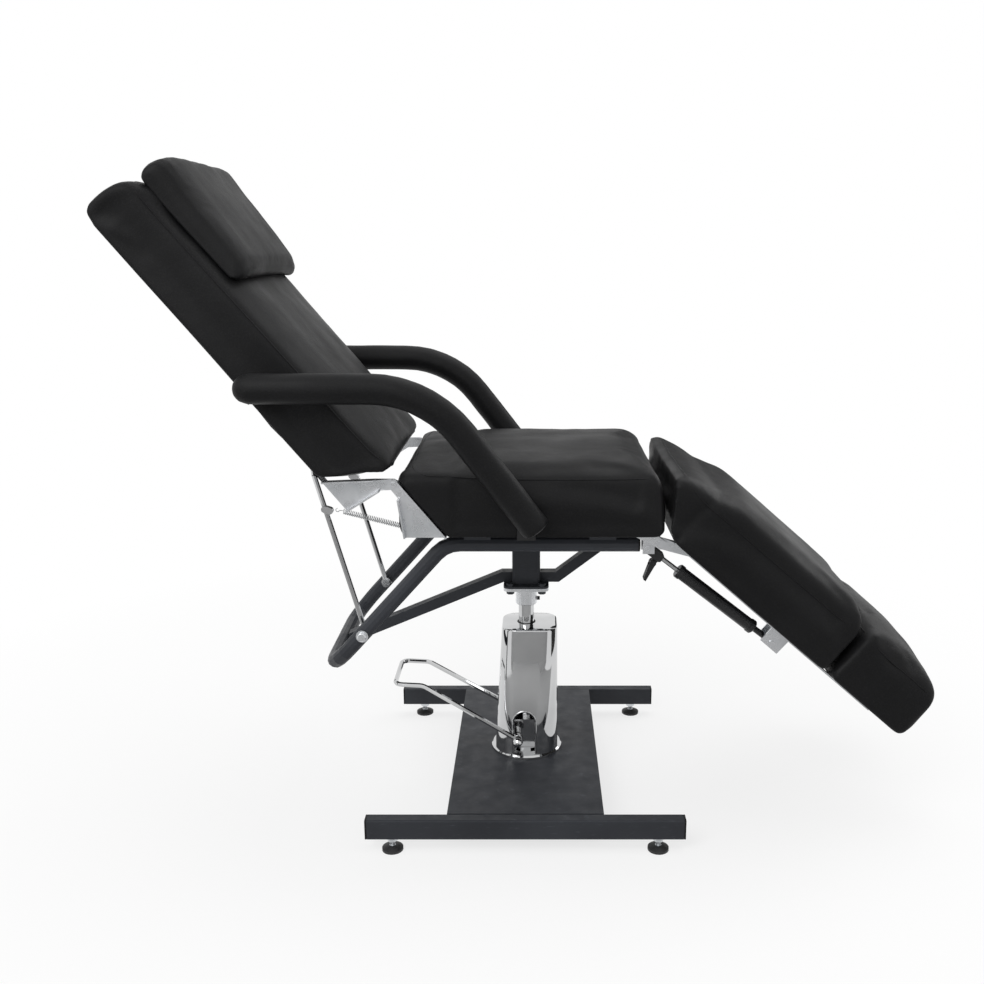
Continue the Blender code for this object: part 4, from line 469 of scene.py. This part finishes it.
def leathercloth(name, shine=0.44):
    """Black vinyl: pebble grain, soft creases, a slightly uneven satin and dust in the grain."""
    material, tree, shader, place = new_finish(name)
    cloud = spread(tree, grain(tree, place, 3.5, 4.0), 0.0, 1.0)
    base = tint(tree, cloud, (0.0060, 0.0060, 0.0064), (0.0090, 0.0091, 0.0095))
    pebble = tree.nodes.new("ShaderNodeTexVoronoi")
    pebble.inputs["Scale"].default_value = 620.0
    pebble.inputs["Randomness"].default_value = 0.9
    tree.links.new(place, pebble.inputs["Vector"])
    cell = pebble.outputs["Distance"]
    dust = spread(tree, cell, 0.0, 0.4, 0.45, 0.8)
    tree.links.new(tint(tree, dust, base, (0.017, 0.017, 0.018)), shader.inputs["Base Color"])
    satin = spread(tree, grain(tree, place, 8.0, 5.0), shine, shine + 0.13)
    tree.links.new(satin, shader.inputs["Roughness"])
    shader.inputs["Specular IOR Level"].default_value = 0.11
    creases = relief(tree, grain(tree, place, 16.0, 3.0), 0.0016)
    fine = relief(tree, grain(tree, place, 1500.0, 2.0), 0.00006, creases)
    tree.links.new(relief(tree, cell, 0.00022, fine), shader.inputs["Normal"])
    return material


vinyl = leathercloth("black_leathercloth")


def apply_modifier(piece, kind, **settings):
    """Add a modifier to a piece and apply it."""
    modifier = piece.modifiers.new(kind.lower(), kind)
    for key, value in settings.items():
        setattr(modifier, key, value)
    only_active(piece)
    bpy.ops.object.modifier_apply(modifier=modifier.name)


def coordinates(mesh):
    """The vertices of a mesh as rows."""
    rows = np.zeros(len(mesh.vertices) * 3)
    mesh.vertices.foreach_get("co", rows)
    return rows.reshape(-1, 3)


def softened(values, low, high):
    """0 below low, 1 above high, and a smooth rise between them."""
    share = np.clip((values - low) / (high - low), 0.0, 1.0)
    return share * share * (3.0 - 2.0 * share)


def stuffed(name, node, stand, floor, voxel, rounding, most, tuck=0.004, held=(), reshape=None,
            settled=3):
    """A cushion blown up over the CAD solid of its node, in the cushion's own axes.

    Its underside on the board stays where it is, most is how far the filling may push the
    cover, tuck is how far the sides are drawn in between the corners, and held lists boxes
    in which nothing moves. reshape moves the vertices before the cover is filled, and settled
    is how often the filled cover is eased.
    """
    copies = []
    for source in ((node,) if isinstance(node, str) else node):
        piece = bpy.data.objects.new(name, nodes[source].data.copy())
        bpy.context.collection.objects.link(piece)
        piece.data.transform(stand.inverted())
        copies.append(piece)
    only_active(piece)
    for other in copies:
        other.select_set(True)
    if len(copies) > 1:
        bpy.ops.object.join()
    piece.name = name
    bpy.ops.object.mode_set(mode="EDIT")
    bpy.ops.mesh.select_all(action="SELECT")
    bpy.ops.mesh.remove_doubles(threshold=0.00002)
    bpy.ops.mesh.customdata_custom_splitnormals_clear()
    bpy.ops.object.mode_set(mode="OBJECT")
    apply_modifier(piece, "REMESH", mode="VOXEL", voxel_size=voxel)
    start = coordinates(piece.data)
    if reshape:
        start = reshape(start)
        piece.data.vertices.foreach_set("co", start.ravel())
    loose = softened(start[:, 2], floor + PINNED_TO, floor + LOOSE_FROM)
    for low, high in held:
        inside = np.all((start > low) & (start < high), axis=1)
        loose[inside] = 0.0
    group = piece.vertex_groups.new(name="loose")
    pins = piece.vertex_groups.new(name="held")
    for i, weight in enumerate(loose):
        group.add([i], float(weight), "REPLACE")
        pins.add([i], float(1.0 - weight), "REPLACE")
    apply_modifier(piece, "SMOOTH", factor=0.5, iterations=rounding, vertex_group="loose")
    rest = coordinates(piece.data)
    middle = (start.min(0) + start.max(0)) / 2
    half = (start.max(0) - start.min(0)) / 2
    shrunk = (rest.max(0) - rest.min(0)) / 2
    centred = rest - (rest.min(0) + rest.max(0)) / 2
    rest += (middle + centred * half / shrunk - rest) * loose[:, None]
    share = (rest - middle) / half
    draw_y = tuck * (1.0 - share[:, 0] ** 4) * loose
    draw_x = tuck * (1.0 - share[:, 1] ** 4) * loose
    rest[:, 1] -= np.sign(share[:, 1]) * np.abs(share[:, 1]) ** 3 * draw_y
    rest[:, 0] -= np.sign(share[:, 0]) * np.abs(share[:, 0]) ** 3 * draw_x
    piece.data.vertices.foreach_set("co", rest.ravel())
    piece.data.update()
    cloth = piece.modifiers.new("filling", "CLOTH")
    cloth.settings.quality = 5
    cloth.settings.tension_stiffness = 30
    cloth.settings.compression_stiffness = 30
    cloth.settings.bending_stiffness = 4
    cloth.settings.use_pressure = True
    cloth.settings.uniform_pressure_force = 4
    cloth.settings.effector_weights.gravity = 0
    cloth.settings.vertex_group_mass = "held"
    cloth.point_cache.frame_end = FILL_FRAMES
    for step in range(1, FILL_FRAMES + 1):
        bpy.context.scene.frame_set(step)
    blown = piece.evaluated_get(bpy.context.evaluated_depsgraph_get())
    push = coordinates(blown.data) - rest
    length = np.linalg.norm(push, axis=1)
    push *= (np.minimum(length, most) / np.maximum(length, 1e-9) * loose)[:, None]
    piece.modifiers.remove(cloth)
    bpy.context.scene.frame_set(1)
    piece.data.vertices.foreach_set("co", (rest + push).ravel())
    piece.data.update()
    apply_modifier(piece, "SMOOTH", factor=0.5, iterations=settled, vertex_group="loose")
    apply_modifier(piece, "SUBSURF", levels=1, render_levels=1)
    piece.vertex_groups.clear()
    full = coordinates(piece.data)
    normals = np.zeros(len(piece.data.vertices) * 3)
    piece.data.vertices.foreach_get("normal", normals)
    ripple = np.array([noise.noise(Vector(p) * RIPPLE_SCALE) for p in full])
    ripple *= RIPPLE_HEIGHT * softened(full[:, 2], floor + PINNED_TO, floor + LOOSE_FROM)
    full += normals.reshape(-1, 3) * ripple[:, None]
    piece.data.vertices.foreach_set("co", full.ravel())
    piece.data.update()
    piece.data.materials.clear()
    piece.data.materials.append(vinyl)
    bpy.ops.object.shade_smooth()
    return piece


def welt_on(piece, name, x_low, x_high, corner, shoulder_z, half_y=WELT_HALF):
    """The sewn edge of a top panel: a low bead laid on the cushion round its shoulder."""
    skin = skin_of(piece.data)
    outline = []
    for sign_x, sign_y, first in ((1, 1, 0), (-1, 1, 90), (-1, -1, 180), (1, -1, 270)):
        centre_x = (x_high - corner) if sign_x > 0 else (x_low + corner)
        for i in range(7):
            angle = math.radians(first + 15 * i)
            outward = Vector((math.cos(angle), math.sin(angle), 0.0))
            centre = Vector((centre_x, sign_y * (half_y - corner), 0.0))
            outline.append((centre + corner * outward, outward))
    path = []
    for i, (point, outward) in enumerate(outline):
        after, outward_after = outline[(i + 1) % len(outline)]
        steps = max(1, round((after - point).length / WELT_STEP))
        path += [(point.lerp(after, k / steps), outward.lerp(outward_after, k / steps).normalized())
                 for k in range(steps)]
    found = []
    for point, outward in path:
        inward = (Vector((0.0, 0.0, -1.0)) - outward).normalized()
        aim = point + Vector((0.0, 0.0, shoulder_z))
        hit = skin.ray_cast(aim - inward * WELT_REACH, inward)[0]
        found.append(hit or skin.find_nearest(aim)[0])
    count = len(path)
    laid = [sum((found[(i + k) % count] for k in range(-3, 4)), Vector()) / 7 for i in range(count)]
    welt = tube_along(name, laid, WELT_RADIUS, cyclic=True, sides=1)
    welt.data.materials.append(vinyl)
    return welt


def settle(stand, body, cushion, welt, fill, *replaced):
    """Put a finished cushion and its welt in place on their body."""
    for piece in (cushion, welt):
        if piece is not None:
            piece.data.transform(stand)
            piece.data.update()
            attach(piece, body)
    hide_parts(*replaced)


PLATE_HOLD = ((-0.30, -0.26, 0.55), (-0.155, -0.19, 0.71))
PLATE_HOLD_FAR = ((-0.30, 0.19, 0.55), (-0.155, 0.26, 0.71))
seat_pad = stuffed("seat_pad", "seat_cushion", SEAT_STAND, SEAT_FLOOR, VOXEL, rounding=2,
                   most=0.008, held=(PLATE_HOLD, PLATE_HOLD_FAR))
seat_welt = welt_on(seat_pad, "seat_welt", x_low=-0.220, x_high=0.229, corner=0.024,
                    shoulder_z=0.706)
settle(SEAT_STAND, "seat", seat_pad, seat_welt, 0.8, "seat_cushion")


# Backrest: a longer cushion of the same make, bevelled at its lower end for the hinge,
# and a loose wedge of a head pillow that rests on its upper end.
BACK_HINGE = (-0.2605, 0.0, 0.6857)
BACK_LEAN = math.radians(49.5)
BACK_STAND = Matrix.Translation(BACK_HINGE) @ Matrix.Rotation(BACK_LEAN, 4, "Y")
BACK_FLOOR = -0.094
OVERHANG = 0.011
OVERHANG_FROM = -0.42
OVERHANG_RUN = 0.25


def head_end_out(rows):
    """Push the head end of the back out over the edge of its board."""
    moved = rows.copy()
    moved[:, 0] -= OVERHANG * np.clip((OVERHANG_FROM - rows[:, 0]) / OVERHANG_RUN, 0.0, 1.0)
    return moved


back_pad = stuffed("back_pad", "back_cushion", BACK_STAND, BACK_FLOOR, VOXEL, rounding=2,
                   most=0.007, reshape=head_end_out)
back_welt = welt_on(back_pad, "back_welt", x_low=-0.683, x_high=-0.034, corner=0.024,
                    shoulder_z=0.0185)
settle(BACK_STAND, "backrest", back_pad, back_welt, 0.8, "back_cushion")

BACK_SHOULDER_Z = 0.0205
BACK_SWELL = 0.0130
BACK_HALF = 0.235
PILLOW_BED = 0.0338
PILLOW_CLEAR = 0.0012
PILLOW_HALF_WIDTH = 0.205
PILLOW_MIDDLE = -0.5665
PILLOW_HALF_LENGTH = 0.1235
PILLOW_CREST = 0.0660
CREST_FALL = 0.0060
FOAM_MIDDLE = -0.5685
FOAM_HALF_LENGTH = 0.1215
FOAM_HEIGHT = 0.050
# Shares from the middle of the pillow to its side: the place, then what holds there
PILLOW_SHARES = (0.0, 0.50, 0.75, 0.90, 0.97, 1.0)
FOAM_PLAN = (1.0, 1.0, 0.99, 0.95, 0.88, 0.80)
PILLOW_PLAN = (1.0, 1.0, 0.99, 0.98, 0.95, 0.91)
PILLOW_RISE = (1.0, 0.98, 0.90, 0.74, 0.52, 0.30)
PILLOW_DOME = (1.0, 0.985, 0.94, 0.84, 0.68, 0.42)


def moulded_pillow(rows):
    """Lay the pillow on the crown of the back, higher at the head and rounded to its sides."""
    side = np.minimum(np.abs(rows[:, 1]) / PILLOW_HALF_WIDTH, 1.0)
    foam, plan, rise, dome = (np.interp(side, PILLOW_SHARES, shares)
                              for shares in (FOAM_PLAN, PILLOW_PLAN, PILLOW_RISE, PILLOW_DOME))
    along = (rows[:, 0] - FOAM_MIDDLE) / (FOAM_HALF_LENGTH * foam)
    up = (rows[:, 2] - PILLOW_BED) / (FOAM_HEIGHT * rise)
    bed = BACK_SHOULDER_Z + BACK_SWELL * (1.0 - (rows[:, 1] / BACK_HALF) ** 2) + PILLOW_CLEAR
    crest = BACK_SHOULDER_Z + (PILLOW_CREST - CREST_FALL * along) * dome
    moved = rows.copy()
    moved[:, 0] = PILLOW_MIDDLE + along * PILLOW_HALF_LENGTH * plan
    moved[:, 2] = bed + up * (crest - bed)
    return moved


pillow = stuffed("head_pad", "head_pillow", BACK_STAND, 0.0, 0.005, rounding=1, most=0.003,
                 tuck=0.002, reshape=moulded_pillow, settled=2)
settle(BACK_STAND, "backrest", pillow, None, 0.9, "head_pillow")


# Hinge plates, rack plates and armrest plates: folded sheet, zinc plated at the hinge,
# black enamelled where they carry the bail and the armrests.
plate_black = black_enamel("plate_enamel", 0.30)
for side_name in ("left", "right"):
    dress(zinc, *(plate + side_name for plate in (
        "seat_hinge_plate_", "back_hinge_plate_", "seat_leg_leaf_", "leg_leaf_")))
    dress(plate_black, *(plate + side_name for plate in (
        "rack_plate_", "arm_pivot_plate_", "arm_link_plate_")))


# Armrests: bent steel tubes wrapped in foam and covered with a sleeve of the same vinyl.
# The sleeve is drawn tight over the foam and rounded off at both ends.
ARM_STAND = Matrix.Identity(4)
ARM_FLOOR = 0.40
ARM_VOXEL = 0.0045
for side_name in ("left", "right"):
    arm_node = "armrest_" + side_name
    arm = stuffed("arm_sleeve_" + side_name, arm_node, ARM_STAND, ARM_FLOOR, ARM_VOXEL,
                  rounding=3, most=0.002, tuck=0.0)
    settle(ARM_STAND, arm_node, arm, None, 0.9, arm_node)


# Recline bail: a chromed rod bent to a U, held by a bolt through each rail.
# Two extension springs pull it forward so that its bar stays in the rack's notches.
bail_chrome = chrome_plate("bail_chrome", 0.08)
polished("bail_rod", "recline_bail", "bail", bail_chrome)
SPRING_Y = 0.134
SPRING_HOOK = Vector((-0.2409, 0.0, 0.582))
BAIL_PIVOT_X = -0.3337
BAIL_PIVOT_Z = 0.382
BAIL_LEAN = math.radians(15.45)
CLIP_ALONG = 0.251
CLIP_AHEAD = 0.017
CLIP_DROP = 0.005
SPRING_CLIP = Vector((BAIL_PIVOT_X - CLIP_ALONG * math.sin(BAIL_LEAN) + CLIP_AHEAD, 0.0,
                      BAIL_PIVOT_Z + CLIP_ALONG * math.cos(BAIL_LEAN) - CLIP_DROP))
COIL_RADIUS = 0.0048
COIL_WIRE = 0.0008
COIL_TURNS = 34
COIL_TAIL = 0.015
EYE_RADIUS = 0.0035
EYE_SET = 0.0045
CLIP_EYE_SET = 0.0040


def spring_wire():
    """Oiled spring steel, lightly streaked along the wire."""
    material, tree, shader, place = new_finish("spring_wire")
    cloud = spread(tree, grain(tree, place, 120.0), 0.0, 1.0)
    tone = tint(tree, cloud, (0.42, 0.43, 0.44), (0.66, 0.67, 0.68))
    paint(tree, shader, tone, spread(tree, grain(tree, place, 300.0), 0.18, 0.36), 1.0)
    return material


wire = spring_wire()
for side, side_name in ((-1, "left"), (1, "right")):
    run = (SPRING_CLIP - SPRING_HOOK).normalized()
    beside = Vector((0.0, 1.0, 0.0))
    above = run.cross(beside)
    root = Vector((0.0, side * SPRING_Y, 0.0))
    coil_from = root + SPRING_HOOK + run * COIL_TAIL
    coil_to = root + SPRING_CLIP - run * COIL_TAIL
    path = []
    for i in range(9):
        angle = math.radians(250 - 250 * i / 8)
        path.append(root + SPRING_HOOK + run * (EYE_SET - EYE_RADIUS * math.cos(angle))
                    + above * EYE_RADIUS * math.sin(angle))
    steps = COIL_TURNS * 12
    for i in range(steps + 1):
        angle = 2 * math.pi * i / 12
        spoke = beside * math.cos(angle) + above * math.sin(angle)
        path.append(coil_from.lerp(coil_to, i / steps) + spoke * COIL_RADIUS)
    for i in range(9):
        angle = math.radians(180 - 250 * i / 8)
        path.append(root + SPRING_CLIP - run * (CLIP_EYE_SET - EYE_RADIUS * math.cos(angle))
                    + above * EYE_RADIUS * math.sin(angle))
    coil = tube_along("bail_spring_" + side_name, path, COIL_WIRE, sides=1)
    coil.data.materials.append(wire)
    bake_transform(coil)
    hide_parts("return_spring_" + side_name)


# Leg rest: a calf cushion and a shorter foot cushion on two boards, of the same make as the seat.
# The calf cushion runs on over the hinge in a soft knee end, and is built in place in this pose.
LEG_HINGE = (0.2301, 0.0, 0.570)
LEG_DROP = math.radians(41.0)
LEG_STAND = Matrix.Translation(LEG_HINGE) @ Matrix.Rotation(LEG_DROP, 4, "Y")
LEG_FLOOR = 0.020
leg_pad = stuffed("calf_pad", ("leg_cushion", "knee_bolster"), LEG_STAND, LEG_FLOOR, VOXEL,
                  rounding=4, most=0.007)
leg_welt = welt_on(leg_pad, "calf_welt", x_low=-0.046, x_high=0.386, corner=0.022,
                   shoulder_z=0.118)
for piece in (leg_pad, leg_welt):
    piece.data.transform(LEG_STAND)
    piece.data.update()
    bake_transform(piece)
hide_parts("leg_cushion", "knee_bolster")
foot_pad = stuffed("foot_pad", "foot_cushion", LEG_STAND, LEG_FLOOR, VOXEL, rounding=4,
                   most=0.007)
foot_welt = welt_on(foot_pad, "foot_welt", x_low=0.414, x_high=0.588, corner=0.022,
                    shoulder_z=0.118)
settle(LEG_STAND, "legrest", foot_pad, foot_welt, 0.8, "foot_cushion")


# Gas spring: a black cylinder on a chromed rod that locks the leg rest at any angle.
# Its head under the seat carries a black paddle that frees it when squeezed.
STRUT_EYE = Vector((0.4475, -0.170, 0.3733))


def near_point(tree, place, centre, radius):
    """1 within a distance of a point."""
    gap = tree.nodes.new("ShaderNodeVectorMath")
    gap.operation = "DISTANCE"
    tree.links.new(place, gap.inputs[0])
    gap.inputs[1].default_value = centre
    test = tree.nodes.new("ShaderNodeMath")
    test.operation = "LESS_THAN"
    tree.links.new(gap.outputs["Value"], test.inputs[0])
    test.inputs[1].default_value = radius
    return test.outputs[0]


strut_black = black_enamel("strut_enamel", 0.16, (
    (lambda t, p: near_point(t, p, STRUT_EYE, 0.016), PLATED, 0.3, 1.0),))
dress(strut_black, "gas_cylinder")
dress(plate_black, "strut_head")
paddle_black = moulded_plastic("paddle_plastic", (0.008, 0.008, 0.009))
dress(paddle_black, "release_paddle")


# Studio: a plain white floor that runs into a white background, three soft boxes, and dark and
# grey screens that only mirrors see, so that the chrome shows edges as it does in a real studio.
def seen_directly(tree):
    """1 for what the camera, a mirror or a clear part sees, 0 for light that falls on the couch."""
    ray = tree.nodes.new("ShaderNodeLightPath")
    total = ray.outputs["Is Camera Ray"]
    for kind in ("Is Glossy Ray", "Is Transmission Ray"):
        larger = tree.nodes.new("ShaderNodeMath")
        larger.operation = "MAXIMUM"
        tree.links.new(total, larger.inputs[0])
        tree.links.new(ray.outputs[kind], larger.inputs[1])
        total = larger.outputs[0]
    return total


world = bpy.data.worlds.new("studio")
bpy.context.scene.world = world
world.use_nodes = True
sky = world.node_tree
backdrop = sky.nodes["Background"]
backdrop.inputs["Color"].default_value = (1.0, 1.0, 1.0, 1.0)
sky.links.new(level(sky, seen_directly(sky), 0.50, 1.0), backdrop.inputs["Strength"])

bpy.ops.mesh.primitive_plane_add(size=80.0, location=(0.0, 0.0, -0.0005))
floor = bpy.context.active_object
floor.name = "studio_floor"
floor_white = bpy.data.materials.new("floor_white")
floor_white.use_nodes = True
tree = floor_white.node_tree
shader = tree.nodes["Principled BSDF"]
shader.inputs["Base Color"].default_value = (0.90, 0.90, 0.90, 1.0)
shader.inputs["Roughness"].default_value = 0.8
shader.inputs["Specular IOR Level"].default_value = 0.0
glow = tree.nodes.new("ShaderNodeEmission")
place = place_of(tree)
reach = tree.nodes.new("ShaderNodeVectorMath")
reach.operation = "LENGTH"
tree.links.new(place, reach.inputs[0])
fade = spread(tree, reach.outputs["Value"], 0.74, 1.0, 0.6, 1.8)
share = tree.nodes.new("ShaderNodeMath")
share.operation = "MULTIPLY"
tree.links.new(fade, share.inputs[0])
tree.links.new(seen_directly(tree), share.inputs[1])
blend = tree.nodes.new("ShaderNodeMixShader")
tree.links.new(share.outputs[0], blend.inputs[0])
tree.links.new(shader.outputs[0], blend.inputs[1])
tree.links.new(glow.outputs[0], blend.inputs[2])
tree.links.new(blend.outputs[0], tree.nodes["Material Output"].inputs["Surface"])
floor.data.materials.append(floor_white)

LAMPS = (("key", (-1.6, -2.6, 3.0), 70.0, 2.2),
         ("top", (0.6, 0.6, 3.4), 40.0, 2.6),
         ("rim", (2.6, 1.8, 2.0), 20.0, 1.6))
LIT_POINT = Vector((0.0, 0.0, 0.5))
for name, place, power, size in LAMPS:
    lamp = bpy.data.lights.new(name, "AREA")
    lamp.energy = power
    lamp.size = size
    lamp_object = bpy.data.objects.new(name, lamp)
    bpy.context.collection.objects.link(lamp_object)
    lamp_object.location = place
    aim = LIT_POINT - Vector(place)
    lamp_object.rotation_euler = aim.to_track_quat("-Z", "Y").to_euler()

# Each screen: its middle, its size, how far it stands up and turns, in degrees, and its grey
SCREENS = (("screen_left", (-1.5, -0.55, 0.3), (0.22, 0.8), (90.0, 70.0), 0.01),
           ("screen_right", (1.6, 0.25, 0.5), (0.22, 0.6), (90.0, -80.0), 0.02),
           ("screen_back", (0.9, 2.6, 1.0), (0.8, 2.4), (90.0, 0.0), 0.02),
           ("screen_front", (0.0, -3.4, 0.60), (5.0, 1.2), (90.0, 0.0), 0.48),
           ("screen_low", (0.0, -1.87, 0.002), (3.4, 3.06), (0.0, 0.0), 0.43))
for name, middle, size, turn, grey in SCREENS:
    screen_grey = bpy.data.materials.new(name + "_grey")
    screen_grey.use_nodes = True
    screen_look = screen_grey.node_tree.nodes["Principled BSDF"].inputs
    screen_look["Base Color"].default_value = (grey, grey, grey, 1.0)
    screen_look["Roughness"].default_value = 1.0
    bpy.ops.mesh.primitive_plane_add(size=1.0, location=(0.0, 0.0, 0.0))
    screen = bpy.context.active_object
    screen.name = name
    screen.data.transform(Matrix.Translation(middle)
                          @ Matrix.Rotation(math.radians(turn[1]), 4, "Z")
                          @ Matrix.Rotation(math.radians(turn[0]), 4, "X")
                          @ Matrix.Diagonal((*size, 1.0, 1.0)))
    screen.data.materials.append(screen_grey)
    screen.visible_camera = False
    screen.visible_diffuse = False
    screen.visible_shadow = False
    screen.visible_transmission = False

# Camera: at the height of the head pillow, looking straight across the couch and a little down.
CAMERA_DROP = 13.1
camera = bpy.data.cameras.new("camera")
camera.lens = 38.05
camera.sensor_width = 36.0
camera.shift_x = -0.0437
camera_object = bpy.data.objects.new("camera", camera)
bpy.context.collection.objects.link(camera_object)
camera_object.location = (-0.0039, -2.055, 1.10)
camera_object.rotation_euler = (math.radians(90.0 - CAMERA_DROP), 0.0, 0.0)
bpy.context.scene.camera = camera_object
bpy.context.scene.view_settings.view_transform = "Standard"

bpy.ops.object.select_all(action="DESELECT")
